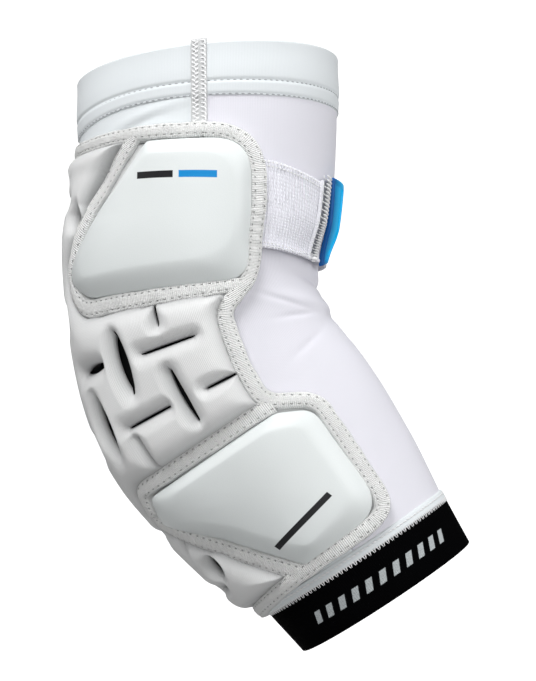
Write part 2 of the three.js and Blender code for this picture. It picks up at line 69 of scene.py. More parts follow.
UPPER_TAPE_WIDTH = 6.8
LOWER_TAPE_WIDTH = 8.0
GUARD_TAPE_TOP = TAPE_TOP - 0.25
RING_COLUMNS = 240
HEM_FOOT = HEM_HEIGHT - UPPER_LENGTH
HEM_ROWS = (HEM_FOOT - 5.6, HEM_FOOT + 0.2)
CUFF_HEAD = FORE_LENGTH - CUFF_HEIGHT
CUFF_FOOT = FORE_LENGTH + 1.2
PAD_HEAD = HEM_FOOT + 15.5
PAD_FOOT = CUFF_HEAD - 7.5
PAD_HEIGHT = PAD_FOOT - PAD_HEAD
NEAR_REACH = 21.0
SLIT_PITCH = 20.0
SLIT_LENGTH = 22.0
SLIT_ROW = 8.0
STRAP_HEAD = -65.0
STRAP_WIDTH = 39.0
STRAP_REACH = 60.0
STRAP_TOP = 2.8
BAR_LOOPS = 27
BAR_PITCH = 1.55
FAR_STRAP_TURN = 312.0
TAB_LENGTH = 17.0

# Sections of the arm from its upper end: place as a share of the upper or fore length, reach to the front
# and to the back as shares of the elbow's depth, and half width as a share of the elbow's breadth.
SECTIONS = (
    {"along": -1.0, "front": 0.52, "back": 0.6, "side": 0.59},
    {"along": -0.68, "front": 0.54, "back": 0.565, "side": 0.56},
    {"along": -0.39, "front": 0.53, "back": 0.515, "side": 0.53},
    {"along": -0.13, "front": 0.48, "back": 0.505, "side": 0.51},
    {"along": 0.11, "front": 0.5, "back": 0.5, "side": 0.49},
    {"along": 0.36, "front": 0.54, "back": 0.485, "side": 0.465},
    {"along": 0.61, "front": 0.52, "back": 0.45, "side": 0.43},
    {"along": 0.83, "front": 0.48, "back": 0.405, "side": 0.41},
    {"along": 1.0, "front": 0.46, "back": 0.365, "side": 0.39},
)

# Folds of the sleeve's cloth: centre along and its spread in millimetres, centre round the arm and its
# spread in degrees, how many millimetres the fold slants for each degree, and its depth in millimetres.
FOLDS = (
    {"along": -7, "spread": 4.5, "turn": 168, "reach": 34, "slant": 0.3, "depth": -2.1},
    {"along": 6, "spread": 5, "turn": 150, "reach": 30, "slant": 0.24, "depth": 1.0},
    {"along": 17, "spread": 5.5, "turn": 176, "reach": 30, "slant": -0.2, "depth": -1.0},
    {"along": -7, "spread": 4.5, "turn": 200, "reach": 30, "slant": -0.3, "depth": -1.6},
    {"along": 50, "spread": 38, "turn": 176, "reach": 55, "slant": 0, "depth": -1.7},
    {"along": -17, "spread": 4, "turn": 136, "reach": 20, "slant": 0.2, "depth": 0.6},
    {"along": -25, "spread": 2.2, "turn": 150, "reach": 16, "slant": 0.35, "depth": -0.8},
    {"along": 2, "spread": 1.6, "turn": 128, "reach": 13, "slant": 0.5, "depth": -0.8},
    {"along": 12, "spread": 1.5, "turn": 133, "reach": 12, "slant": 0.1, "depth": -0.7},
    {"along": 30, "spread": 2.0, "turn": 130, "reach": 12, "slant": -0.3, "depth": -0.6},
    {"along": -86, "spread": 2.2, "turn": 66, "reach": 18, "slant": -0.22, "depth": 0.9},
    {"along": -81, "spread": 1.8, "turn": 58, "reach": 16, "slant": -0.3, "depth": -0.8},
)


# The arm's form.
def section_reach(column, along):
    """A column of the section table at any place along the arm, on a smooth curve through its rows."""
    places = np.array([
        row["along"] * (UPPER_LENGTH if row["along"] < 0 else FORE_LENGTH) for row in SECTIONS
    ])
    values = np.array([row[column] for row in SECTIONS])
    slopes = np.empty(len(values))
    slopes[1:-1] = (values[2:] - values[:-2]) / (places[2:] - places[:-2])
    slopes[0] = (values[1] - values[0]) / (places[1] - places[0])
    slopes[-1] = (values[-1] - values[-2]) / (places[-1] - places[-2])
    at = np.clip(along, places[0], places[-1])
    i = np.clip(np.searchsorted(places, at) - 1, 0, len(places) - 2)
    span = places[i + 1] - places[i]
    t = (at - places[i]) / span
    return (
        (2 * t**3 - 3 * t**2 + 1) * values[i]
        + (t**3 - 2 * t**2 + t) * span * slopes[i]
        + (3 * t**2 - 2 * t**3) * values[i + 1]
        + (t**3 - t**2) * span * slopes[i + 1]
    )


def centre_line(along):
    """Place and lean of the arm's middle: straight above, an arc through the elbow, straight below."""
    middle = (UPPER_LEAN + FORE_LEAN) / 2
    radius = BEND_LENGTH / (FORE_LEAN - UPPER_LEAN)
    on_arc = np.clip(along, -BEND_LENGTH / 2, BEND_LENGTH / 2)
    lean = middle + on_arc / radius
    straight = along - on_arc
    x = (math.cos(middle) - np.cos(lean)) * radius + straight * np.sin(lean)
    z = (math.sin(middle) - np.sin(lean)) * radius - straight * np.cos(lean)
    return x, z, lean


def mean_radius(along):
    depth = (section_reach("front", along) + section_reach("back", along)) * ELBOW_DEPTH
    return depth / 4 + section_reach("side", along) * ELBOW_BREADTH / 2


def turn_of(along, across):
    """Degrees round the arm: 0 at the back of the elbow, 90 outward, 180 in front."""
    return 90 + np.degrees(across / mean_radius(along))


def across_of(along, turn):
    return np.radians(turn - 90) * mean_radius(along)


def on_arm(along, across, height):
    """Points in metres at a height in millimetres over the arm's skin."""
    turn = np.radians(turn_of(along, across))
    x, z, lean = centre_line(along)
    fade = np.clip(-along / UPPER_LENGTH, 0, 1)
    tilt = lean + HEM_TILT * fade**1.5
    front = section_reach("front", along) * ELBOW_DEPTH
    back = section_reach("back", along) * ELBOW_DEPTH
    side = section_reach("side", along) * ELBOW_BREADTH
    depth = (front + back) / 2
    c = -np.cos(turn)
    s = np.sin(turn)
    length = np.hypot(c / depth, s / side)
    forward = (front - back) / 2 + depth * c + height * c / depth / length
    outward = side * s + height * s / side / length
    points = np.stack([x + forward * np.cos(tilt), -outward, z + forward * np.sin(tilt)], axis=1)
    return points / 1000


def fold_height(along, across):
    """How far the sleeve's cloth stands off the arm where it folds."""
    turn = turn_of(along, across) % 360
    height = np.zeros(len(along))
    for fold in FOLDS:
        row = fold["along"] + fold["slant"] * (turn - fold["turn"])
        a = (along - row) / fold["spread"]
        b = (turn - fold["turn"]) / fold["reach"]
        height += fold["depth"] * np.exp(-a * a - b * b)
    return height


# Making and wrapping the flat patterns.
def clear_selection():
    if bpy.context.object and bpy.context.object.mode == "EDIT":
        bpy.ops.object.mode_set(mode="OBJECT")
    bpy.ops.object.select_all(action="DESELECT")


def corners_of(piece):
    """The piece's vertices as rows of x, y, z."""
    points = np.empty(len(piece.data.vertices) * 3)
    piece.data.vertices.foreach_get("co", points)
    return points.reshape(-1, 3)


def move_corners(piece, points):
    piece.data.vertices.foreach_set("co", np.asarray(points, dtype=float).ravel())
    piece.data.update()


def lay_cloth_map(piece, u, v):
    """Writes the piece's own UV map, in millimetres of cloth, from a value at each vertex."""
    layer = piece.data.uv_layers.active or piece.data.uv_layers.new(name="cloth")
    layer.name = "cloth"
    corner = np.empty(len(piece.data.loops), dtype=int)
    piece.data.loops.foreach_get("vertex_index", corner)
    layer.data.foreach_set("uv", np.stack([u[corner], v[corner]], axis=1).ravel())


def flat_grid(name, rows, columns, place, cloth=None):
    """A grid with each corner placed by its shares of the rows and columns, and its cloth map."""
    clear_selection()
    bpy.ops.mesh.primitive_grid_add(x_subdivisions=rows, y_subdivisions=columns, size=1)
    piece = bpy.context.object
    piece.name = name
    shares = corners_of(piece)[:, :2] + 0.5
    along, across, height = place(shares[:, 0], shares[:, 1])
    move_corners(piece, np.stack([along, across, height + 0 * along], axis=1))
    u, v = cloth(shares[:, 0], shares[:, 1]) if cloth else (along, across)
    lay_cloth_map(piece, u, v)
    return piece


def wrap(piece):
    """Wraps a flat pattern round the arm, in metres."""
    points = corners_of(piece)
    move_corners(piece, on_arm(points[:, 0], points[:, 1], points[:, 2]))


def finish_with(piece, kind, **settings):
    """Adds one modifier and applies it."""
    clear_selection()
    piece.select_set(True)
    bpy.context.view_layer.objects.active = piece
    modifier = piece.modifiers.new(kind.lower(), kind)
    for name, value in settings.items():
        setattr(modifier, name, value)
    bpy.ops.object.modifier_apply(modifier=modifier.name)


def edit_all(piece, *steps):
    """Runs edit-mode steps on the whole piece."""
    clear_selection()
    piece.select_set(True)
    bpy.context.view_layer.objects.active = piece
    bpy.ops.object.mode_set(mode="EDIT")
    bpy.ops.mesh.select_all(action="SELECT")
    for step in steps:
        step()
    bpy.ops.object.mode_set(mode="OBJECT")


def close_ring(piece):
    """Joins the ends of a piece that goes all the way round."""
    edit_all(piece, lambda: bpy.ops.mesh.remove_doubles(threshold=0.00001))


def face_outwards(piece):
    edit_all(piece, lambda: bpy.ops.mesh.normals_make_consistent(inside=False))


def dress(piece, material, slot, *nodes):
    """Gives a finished piece its material and says which solids it stands for."""
    clear_selection()
    piece.select_set(True)
    bpy.context.view_layer.objects.active = piece
    bpy.ops.object.shade_smooth()
    piece.data.materials.clear()
    piece.data.materials.append(material)
    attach(piece, "root")
    for node in nodes:
        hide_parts(node)
    return piece


# Lines that the padding is drawn on.
# Corners of the pad's lines: along as a share of the pad's height from its head, across and round as
# shares of the reach to the near side, close to those of the solids.
PAD_CORNERS = {
    "head_near": (0.0, 1.0, 1.0),
    "border_foot_near": (0.334, 1.0, 0.95),
    "waist_head": (0.408, 0.26, 0.67),
    "waist_foot": (0.634, 0.095, 0.43),
    "shoulder": (0.697, 0.88, 0.57),
    "foot_near": (0.988, 0.88, 0.5),
    "foot_middle": (0.998, -1.2, 1.0),
    "foot_back": (1.02, -2.7, 1.0),
    "head_diagonal": (0.0, -1.286, 0.43),
    "upper_foot_near": (0.35, 1.0, 0.3),
    "upper_foot_far": (0.338, -2.62, 0.6),
    "upper_tip": (0.276, -3.1, 0.3),
    "middle_diagonal": (0.139, -2.27, 1.6),
    "lower_head_near": (0.65, 0.19, 0.29),
    "foot_diagonal": (1.0, -1.0, 0.43),
    "lower_turn": (0.718, -3.16, 0.28),
    "lower_tip": (0.65, -2.86, 0.3),
}


def corner_at(name):
    along, across, round_share = PAD_CORNERS[name]
    return PAD_HEAD + along * PAD_HEIGHT, across * NEAR_REACH, round_share * NEAR_REACH


def draw_line(corners, step, closed=False):
    """Evenly spaced points on a line with rounded corners (along, across, round)."""
    points = np.array([corner[:2] for corner in corners], dtype=float)
    count = len(points)
    drawn = []
    for i, corner in enumerate(corners):
        if not closed and i in (0, count - 1):
            drawn.append(points[i])
            continue
        before = points[i - 1] - points[i]
        after = points[(i + 1) % count] - points[i]
        reach_before = np.linalg.norm(before)
        reach_after = np.linalg.norm(after)
        cosine = np.clip(before @ after / reach_before / reach_after, -1, 1)
        cut = corner[2] / max(math.tan(math.acos(cosine) / 2), 0.01)
        cut = min(cut, 0.49 * reach_before, 0.49 * reach_after)
        head = points[i] + before / reach_before * cut
        foot = points[i] + after / reach_after * cut
        for t in np.linspace(0, 1, 13):
            drawn.append((1 - t) ** 2 * head + 2 * t * (1 - t) * points[i] + t * t * foot)
    if closed:
        drawn.append(drawn[0])
    return evenly(np.array(drawn), step)


def evenly(points, step):
    """The same line with its points at even steps."""
    reach = np.concatenate([[0], np.cumsum(np.linalg.norm(np.diff(points, axis=0), axis=1))])
    places = np.linspace(0, reach[-1], max(4, round(reach[-1] / step)) + 1)
    return np.stack([np.interp(places, reach, points[:, k]) for k in (0, 1)], axis=1)


def side_of(line):
    """Unit steps to the side of a line at each point, toward the near side where it runs up the arm."""
    run = np.gradient(line, axis=0)
    if np.allclose(line[0], line[-1]):
        run[0] = run[-1] = line[1] - line[-2]
    run /= np.linalg.norm(run, axis=1)[:, None]
    return np.stack([run[:, 1], -run[:, 0]], axis=1)


def distance_to(line, along, across):
    """How far each point lies from a line."""
    found = np.full(len(along), 1e9)
    for head, foot in zip(line[:-1], line[1:]):
        run = foot - head
        t = np.clip(((along - head[0]) * run[0] + (across - head[1]) * run[1]) / (run @ run), 0, 1)
        found = np.minimum(found, np.hypot(along - head[0] - t * run[0], across - head[1] - t * run[1]))
    return found


def is_inside(line, along, across):
    """Whether each point lies inside a closed line."""
    inside = np.zeros(len(along), dtype=bool)
    for head, foot in zip(line[:-1], line[1:]):
        if head[0] == foot[0]:
            continue
        spans = (head[0] > along) != (foot[0] > along)
        crossing = head[1] + (foot[1] - head[1]) * (along - head[0]) / (foot[0] - head[0])
        inside ^= spans & (across < crossing)
    return inside


def back_of(along):
    return float(across_of(np.array([along]), 0)[0])


def border_line():
    """The pad's whole border, down the near side and up the far side."""
    far_head = back_of(PAD_HEAD) - 46
    far_foot = back_of(PAD_FOOT) - 40.5
    corners = [corner_at(name) for name in (
        "head_near", "border_foot_near", "waist_head", "waist_foot", "shoulder", "foot_near", "foot_middle",
        "foot_back",
    )]
    corners.append((PAD_FOOT + 5, back_of(PAD_FOOT), 20))
    corners.append((PAD_FOOT, far_foot, 21))
    corners.append((PAD_HEAD, far_head, 21))
    return draw_line(corners, LINE_STEP, closed=True)


BORDER = border_line()
UPPER_LOOP = draw_line([corner_at(name) for name in (
    "head_diagonal", "head_near", "upper_foot_near", "upper_foot_far", "upper_tip", "middle_diagonal",
)], LINE_STEP, closed=True)
LOWER_LOOP = draw_line([corner_at(name) for name in (
    "lower_head_near", "shoulder", "foot_near", "foot_diagonal", "lower_turn", "lower_tip",
)], LINE_STEP, closed=True)


def soft_step(value):
    """0 below 0, 1 above 1 and a smooth rise between."""
    t = np.clip(value, 0, 1)
    return t * t * (3 - 2 * t)


def back_lift(along, across):
    """How much higher the sewn edges lie toward the back, where they ride on the foam."""
    reach = soft_step((-across - 42) / 24) * (1 - soft_step((-across - 88) / 20))
    return 3.6 * reach * soft_step((along + 76) / 24) * (1 - soft_step((along - 96) / 16))


# How much thicker the pad is at the back than at the side, in millimetres, down the arm.
SWELL_ALONG = (-76, -62, -50, -38, -8, 5, 18, 30, 60, 76, 88, 98, 107, 116)
SWELL_HEIGHT = (-3.0, -3.8, -1.5, 0.5, 1.5, 3.0, 5.0, 6.5, 5.8, 4.2, 2.8, 1.8, 0.4, 0.0)


def swell(along, across):
    """The extra thickness of the pad behind the elbow and the forearm."""
    ramp = soft_step((-across - 20) / 38)
    return np.interp(along, SWELL_ALONG, SWELL_HEIGHT) * ramp


UPPER_TAPE_LINE = draw_line([
    (corner_at("upper_foot_near")[0] + 1.5, NEAR_REACH - 3, 0),
    corner_at("upper_foot_far"), corner_at("upper_tip"),
    corner_at("middle_diagonal"), corner_at("head_diagonal"),
], LINE_STEP)
LOWER_TAPE_LINE = draw_line([
    corner_at("foot_diagonal"), corner_at("lower_turn"), corner_at("lower_tip"),
    corner_at("lower_head_near"),
], LINE_STEP)


# The sleeve, its hem and its cuff.
def sleeve_panel(name, turn_from, turn_to, material, slot, *nodes):
    def place(down, around):
        along = HEM_FOOT - 3 + (CUFF_HEAD - HEM_FOOT + 2) * down
        turn = turn_from + (turn_to - turn_from) * around
        across = across_of(along, turn)
        drape = 0.1 * np.sin(along / 9 + turn / 11) * np.sin(along / 23 - turn / 17)
        return along, across, fold_height(along, across) + drape

    panel = flat_grid(name, 170, 110, place)
    wrap(panel)
    finish_with(panel, "SOLIDIFY", thickness=SLEEVE_WALL / 1000, offset=-1)
    return dress(panel, material, slot, *nodes)


def hem_drop(turn):
    """How much lower the hem reaches at the back of the arm."""
    away = (turn + 175) % 360 - 180
    return 7 * np.exp(-((away / 40) ** 2))


def ring(name, profile, material, slot, node, drop=None):
    """A ring of cloth round the arm from a closed profile of (along, height) corners."""
    profile = np.array(profile + [profile[0]], dtype=float)
    reach = np.concatenate([[0], np.cumsum(np.linalg.norm(np.diff(profile, axis=0), axis=1))])

    def place(down, around):
        row = np.rint(down * (len(profile) - 1)).astype(int)
        along = profile[row, 0]
        turn = 360 * around
        if drop is not None:
            fade = np.clip((along + UPPER_LENGTH) / HEM_HEIGHT, 0, 1)
            along = along + drop(turn) * fade
        return along, across_of(along, turn), profile[row, 1]

    def cloth(down, around):
        row = np.rint(down * (len(profile) - 1)).astype(int)
        return reach[row] + profile[0, 0], across_of(0 * around, 360 * around)

    band = flat_grid(name, len(profile) - 1, RING_COLUMNS, place, cloth)
    wrap(band)
    close_ring(band)
    face_outwards(band)
    return dress(band, material, slot, node)


def hem_profile():
    """Outside from the foot up over two sewn rows, round the rim and down inside."""
    rows = []
    for along in np.linspace(HEM_FOOT + 0.6, -UPPER_LENGTH + 1.1, 60):
        puff = 0.95
        for row in HEM_ROWS:
            puff -= 0.5 * math.exp(-(((along - row) / 0.75) ** 2))
        rows.append((along, puff + 0.18 * math.sin((along + 86) / 3.1)))
    for angle in np.linspace(0.2, math.pi - 0.2, 7):
        rows.append((-UPPER_LENGTH + 1.0 - 1.05 * math.sin(angle), -0.15 + 1.05 * math.cos(angle)))
    for along in np.linspace(-UPPER_LENGTH + 1.1, HEM_FOOT + 0.6, 8):
        rows.append((along, -SLEEVE_WALL))
    return rows


def cuff_profile():
    """Outside down to the foot, round it and up inside."""
    rows = [(along, 0.75) for along in np.linspace(CUFF_HEAD, CUFF_FOOT - 0.9, 18)]
    rows += [(CUFF_FOOT - 0.3, 0.6), (CUFF_FOOT, 0.1), (CUFF_FOOT, -0.7), (CUFF_FOOT - 0.4, -1.1)]
    rows += [(along, -SLEEVE_WALL) for along in np.linspace(CUFF_FOOT - 1, CUFF_HEAD, 8)]
    return rows


def cuff_seam_profile():
    """A low double ridge of thread over the sleeve's lower edge."""
    head = CUFF_HEAD - CUFF_SEAM_HEIGHT
    rows = [(head - 0.4, -0.2), (head, 0.35), (head + 0.7, 0.9), (head + 1.5, 0.65), (head + 2.4, 1.0)]
    rows += [(head + 3.4, 1.05), (CUFF_HEAD + 0.2, 0.8), (CUFF_HEAD, -SLEEVE_WALL), (head, -SLEEVE_WALL)]
    return rows


# Thread.
def thread_shape():
    """One stitch, 1 mm long along x and 1 mm across: a bead of thread with tucked ends."""
    clear_selection()
    bpy.ops.mesh.primitive_uv_sphere_add(segments=8, ring_count=6, radius=0.5)
    stitch = bpy.context.object
    edit_all(
        stitch,
        lambda: bpy.ops.transform.rotate(
            value=math.pi / 2, orient_axis="Y", center_override=(0, 0, 0)),
    )
    points = corners_of(stitch)
    points[:, 2] -= 0.35 * np.abs(points[:, 0] * 2) ** 2
    move_corners(stitch, points)
    return stitch


def sew(name, places, size, material, slot):
    """Stitches at rows of (along, across, height, direction in degrees), joined as one piece.

    size is each stitch's length, width and thickness.
    """
    stitch = thread_shape()
    single = corners_of(stitch) * np.array(size)
    faces = [list(face.vertices) for face in stitch.data.polygons]
    points = []
    joined = []
    for number, (along, across, height, direction) in enumerate(places):
        angle = math.radians(direction)
        x = single[:, 0] * math.cos(angle) - single[:, 1] * math.sin(angle)
        y = single[:, 0] * math.sin(angle) + single[:, 1] * math.cos(angle)
        points.append(np.stack([along + x, across + y, height + single[:, 2]], axis=1))
        joined += [[corner + number * len(single) for corner in face] for face in faces]
    points = np.concatenate(points)
    mesh = bpy.data.meshes.new(name)
    mesh.from_pydata(points.tolist(), [], joined)
    thread = bpy.data.objects.new(name, mesh)
    bpy.context.collection.objects.link(thread)
    lay_cloth_map(thread, points[:, 0], points[:, 1])
    bpy.data.objects.remove(stitch)
    wrap(thread)
    return dress(thread, material, slot)


def round_the_arm(along, pitch, height, directions, drop=None):
    """Places for stitches in a ring round the arm, which take the directions in turn."""
    reach = across_of(np.array([along]), 360)[0] - across_of(np.array([along]), 0)[0]
    count = round(reach / pitch)
    places = []
    for i in range(count):
        turn = 360 * i / count
        row = along + (drop(turn) if drop else 0)
        across = float(across_of(np.array([row]), np.array([turn]))[0])
        places.append((row, across, height, directions[i % len(directions)]))
    return places


def flat_seam(name, turn, along_from, along_to, material, thread, slot, node):
    """A flat seam: a strip of cloth with a chain of loops and crossing threads."""
    def rise_at(along):
        return np.interp(along, [HEM_FOOT - 0.5, HEM_FOOT + 2.5], [1.1, 0.35])

    def place(down, around):
        along = along_from + (along_to - along_from) * down
        across = across_of(along, turn) + SIDE_SEAM_WIDTH * (around - 0.5)
        edge = 1 - np.abs(2 * around - 1) ** 4
        ridge = 0.25 * np.cos(3 * math.pi * (2 * around - 1)) ** 2
        folded = np.maximum(fold_height(along, across), 0)
        return along, across, rise_at(along) + (0.35 + ridge) * edge + folded

    rows = round((along_to - along_from) / 1.5)
    strip = flat_grid(name, rows, 12, place)
    wrap(strip)
    finish_with(strip, "SOLIDIFY", thickness=0.0005, offset=-1)
    dress(strip, material, slot, node)
    places = []
    pitch = 1.9
    for i in range(int((along_to - along_from) / pitch)):
        along = along_from + pitch * (i + 0.5)
        middle = float(across_of(np.array([along]), turn)[0])
        fold = max(float(fold_height(np.array([along]), np.array([middle]))[0]), 0)
        height = float(rise_at(along)) + 0.62 + fold
        places.append((along, middle - 2.0, height, 52))
        places.append((along + pitch / 2, middle - 1.0, height, 128))
        places.append((along, middle + 1.6, height, 74))
        places.append((along + pitch / 2, middle + 2.5, height - 0.1, 8))
    sew(name + "_thread", places, (2.1, 0.75, 0.7), thread, slot)


# The pad.
def tape(name, line, width, material, slot, *nodes, top=TAPE_TOP, pucker=0.0):
    """A ribbed binding tape along a line, with rounded edges and two sunk rows of stitches."""
    side = side_of(line)
    steps = np.linalg.norm(np.diff(line, axis=0), axis=1)
    reach = np.concatenate([[0], np.cumsum(steps)])

    def place(run, around):
        row = np.rint(run * (len(line) - 1)).astype(int)
        v = np.sin(math.pi / 2 * (2 * around - 1))
        near_strap = np.exp(-(((line[row, 0] + 42) / 21) ** 4)) * (line[row, 1] > 10)
        phase = reach[row] * 2 * math.pi / 4.6 + 0.9 * np.sin(reach[row] / 7)
        gather = pucker * near_strap * np.sin(phase + 1.1 * v)
        stray = 0.16 * np.sin(reach[row] / 3.7) + 0.12 * np.sin(reach[row] / 1.9 + 1)
        offset = width / 2 * v + (0.35 * gather + stray) * np.abs(v) ** 3
        along = line[row, 0] + side[row, 0] * offset
        across = line[row, 1] + side[row, 1] * offset
        body = (1 - np.abs(v) ** 6) ** 0.45
        sunk = 0.42 * np.exp(-(((np.abs(v) - 0.58) / 0.12) ** 2))
        loose = 0.09 * np.sin(reach[row] / 2.9 + 2 * v) + 0.07 * np.sin(reach[row] / 1.3 - 3 * v)
        height = PAD_BASE - 0.6 + (top - PAD_BASE + 0.6 - sunk + loose + 0.5 * gather) * body
        lift = back_lift(along, across) + np.maximum(swell(along, across), -2.4)
        return along, across, height + lift * (0.4 + 0.6 * body)

    def cloth(run, around):
        row = np.rint(run * (len(line) - 1)).astype(int)
        return reach[row], 3.8 * np.sin(math.pi / 2 * (2 * around - 1))

    strip = flat_grid(name, len(line) - 1, TAPE_COLUMNS, place, cloth)
    wrap(strip)
    if np.allclose(line[0], line[-1]):
        close_ring(strip)
    face_outwards(strip)
    return dress(strip, material, slot, *nodes)


def polar_reach(line, centre, angles):
    """How far a closed line lies from a centre in each direction."""
    away = line - centre
    angle = np.unwrap(np.arctan2(away[:, 1], away[:, 0]))
    if angle[-1] < angle[0]:
        angle = angle[::-1]
        away = away[::-1]
    reach = np.hypot(away[:, 0], away[:, 1])
    turns = (angles - angle[0]) % (2 * math.pi) + angle[0]
    return np.interp(turns, angle, reach)


# Corners of each guard's foot and of its plateau, as along, across and round, and how high the plateau
# stands, all in millimetres.
UPPER_GUARD = {
    "foot": ((-73, -22, 3), (-73, 17.5, 15), (-10.5, 19.5, 11), (-15, -49.5, 11), (-23, -64, 5),
             (-43.5, -44, 20)),
    "plateau": ((-65.5, -20, 5), (-65.5, 9, 12), (-22.5, 12, 14), (-22, -48.5, 8), (-28.5, -49, 5),
                (-46.5, -36, 20)),
    "crown": 9.6,
}
LOWER_GUARD = {
    "foot": ((51, 3, 6), (58, 15, 9), (108.5, 16.5, 13), (111.5, -18, 4), (84, -40.5, 14), (64, -61, 4),
             (51.5, -57, 5)),
    "plateau": ((56.5, -4, 6), (61, 6, 5), (98, 7, 7), (104.5, -13, 5), (81, -29.5, 12), (64, -46, 6),
                (56.5, -42, 5)),
    "crown": 9.4,
}
# Heights of a guard's foot and rim, and how far the plateau domes, in millimetres.
GUARD_FOOT = 1.6
GUARD_RIM = 4.4
GUARD_DOME = 0.9


def moulded_guard(name, guard, material, slot, node):
    """A moulded shell: a short wall, a broad soft bevel and a slightly crowned plateau."""
    foot = draw_line(guard["foot"], GUARD_STEP, closed=True)
    level = draw_line(guard["plateau"], GUARD_STEP, closed=True)
    rim = GUARD_RIM + back_lift(foot[:, 0], foot[:, 1])
    centre = level.mean(axis=0)
    away = foot - centre
    angles = np.arctan2(away[:, 1], away[:, 0])
    outer = np.hypot(away[:, 0], away[:, 1])
    inner = polar_reach(level, centre, angles)
    wall_rings = 3
    bevel_rings = 14
    top_rings = 14
    rings = wall_rings + bevel_rings + top_rings

    def place(run, around):
        ray = np.rint(around * (len(foot) - 1)).astype(int)
        number = run * rings
        wall = np.clip(number / wall_rings, 0, 1)
        bevel = np.clip((number - wall_rings) / bevel_rings, 0, 1)
        top = np.clip((number - wall_rings - bevel_rings) / top_rings, 0, 1)
        reach = (outer[ray] * (1 - bevel) + inner[ray] * bevel) * (1 - top)
        reach -= 0.5 * (1 - np.cos(wall * math.pi / 2)) * (1 - bevel)
        rise = 1 - (1 - bevel) ** 1.5
        height = GUARD_FOOT + (rim[ray] - GUARD_FOOT) * wall + (guard["crown"] - rim[ray]) * rise
        height += GUARD_DOME * (1 - (1 - top) ** 2)
        along = centre[0] + reach * np.cos(angles[ray])
        across = centre[1] + reach * np.sin(angles[ray])
        return along, across, height + np.maximum(swell(along, across), 0) * wall

    shell = flat_grid(name, rings, len(foot) - 1, place)
    wrap(shell)
    close_ring(shell)
    face_outwards(shell)
    return dress(shell, material, slot, node)


# Slits that differ from the plain ones of the lattice, by row and column: how far their middle is moved
# down and round, their length, and how wide they stand open. A width of 0 is a groove that isn't cut
# through.
SLITS = {
    (0, 2): {"down": 0.5, "around": 2.5, "length": 22, "width": 5.2},
    (1, 3): {"down": -4.0, "around": 4.0, "length": 20, "width": 8.5},
    (1, 1): {"down": -1.0, "around": -0.5, "length": 22, "width": 2.0},
    (1, 2): {"down": 0.0, "around": 4.0, "length": 20, "width": 0.9},
    (0, 3): {"down": -1.5, "around": 6.0, "length": 17, "width": 2.6},
    (0, 1): {"down": 0.0, "around": 2.0, "length": 22, "width": 0.9},
    (-1, 1): {"down": 2.0, "around": 1.0, "length": 22, "width": 1.2},
    (1, 0): {"down": 0.5, "around": -3.5, "length": 18, "width": 1.1},
    (2, 2): {"down": -11.0, "around": -4.0, "length": 12, "width": 0.0},
    (-3, 3): {"down": 9.5, "around": 0.5, "length": 10, "width": 7.0},
    (5, 3): {"down": -16.5, "around": 8.5, "length": 12, "width": 6.5},
    (4, 3): {"down": 13.0, "around": -2.0, "length": 16, "width": 0.0},
}

# Places of the lattice, by row and column, that have no slit.
NO_SLITS = ((-4, 2), (-4, 3), (-3, 2), (-2, 2), (-2, 3), (-1, 3), (0, 0), (2, 3), (4, 2), (5, 2))
PLAIN_SLIT_WIDTH = 0.7
FOAM_SHOULDER = 8.0


def nearest_slits(along, across):
    """The nine slits round each point: offsets along and beside one, whether it runs down, and its sizes.

    The sizes are half its length and its width, which is below 0 where the lattice has no slit.
    """
    row = np.rint((along - SLIT_ROW) / SLIT_PITCH).astype(int)
    column = np.rint(-across / SLIT_PITCH).astype(int)
    for i in (-1, 0, 1):
        for j in (-1, 0, 1):
            down = along - SLIT_ROW - (row + i) * SLIT_PITCH
            around = across + (column + j) * SLIT_PITCH
            width = np.full(len(along), PLAIN_SLIT_WIDTH)
            half = np.full(len(along), SLIT_LENGTH / 2)
            for (slit_row, slit_column), slit in SLITS.items():
                here = (row + i == slit_row) & (column + j == slit_column)
                down[here] -= slit["down"]
                around[here] -= slit["around"]
                width[here] = slit["width"]
                half[here] = slit["length"] / 2
            for slit_row, slit_column in NO_SLITS:
                width[(row + i == slit_row) & (column + j == slit_column)] = -1
            runs_down = (row + i + column + j) % 2 == 0
            lengthwise = np.where(runs_down, down, around)
            sideways = np.where(runs_down, around, down)
            yield lengthwise, sideways, runs_down, half, width


# How far the foam's lines lie from the middle of a slit.
SLIT_STEPS = (0.18, 0.5, 0.85, 1.25, 1.8, 2.5, 3.4, 4.5, 5.8, 7.3, 8.8)


def lattice_steps(low, high, origin, moved):
    """Lines across the foam: close together at the slits and wider between them."""
    first = math.floor((low - origin) / SLIT_PITCH) - 1
    last = math.ceil((high - origin) / SLIT_PITCH) + 1
    middles = [origin + n * SLIT_PITCH for n in range(first, last + 1)] + moved
    middles = np.unique(np.round(middles, 2))
    lines = []
    for near in SLIT_STEPS:
        for line in np.concatenate([middles - near, middles + near]):
            if near == SLIT_STEPS[0] or np.abs(np.array(lines) - line).min() > 0.3:
                lines.append(line)
    lines = np.array(sorted(lines))
    return lines[(lines > low) & (lines < high)]


def rise_from(away):
    """How far the foam has risen to its full thickness, from a distance to its nearest seam or slit."""
    return np.sqrt(1 - (1 - np.clip(away / FOAM_SHOULDER, 0, 1)) ** 2.2)


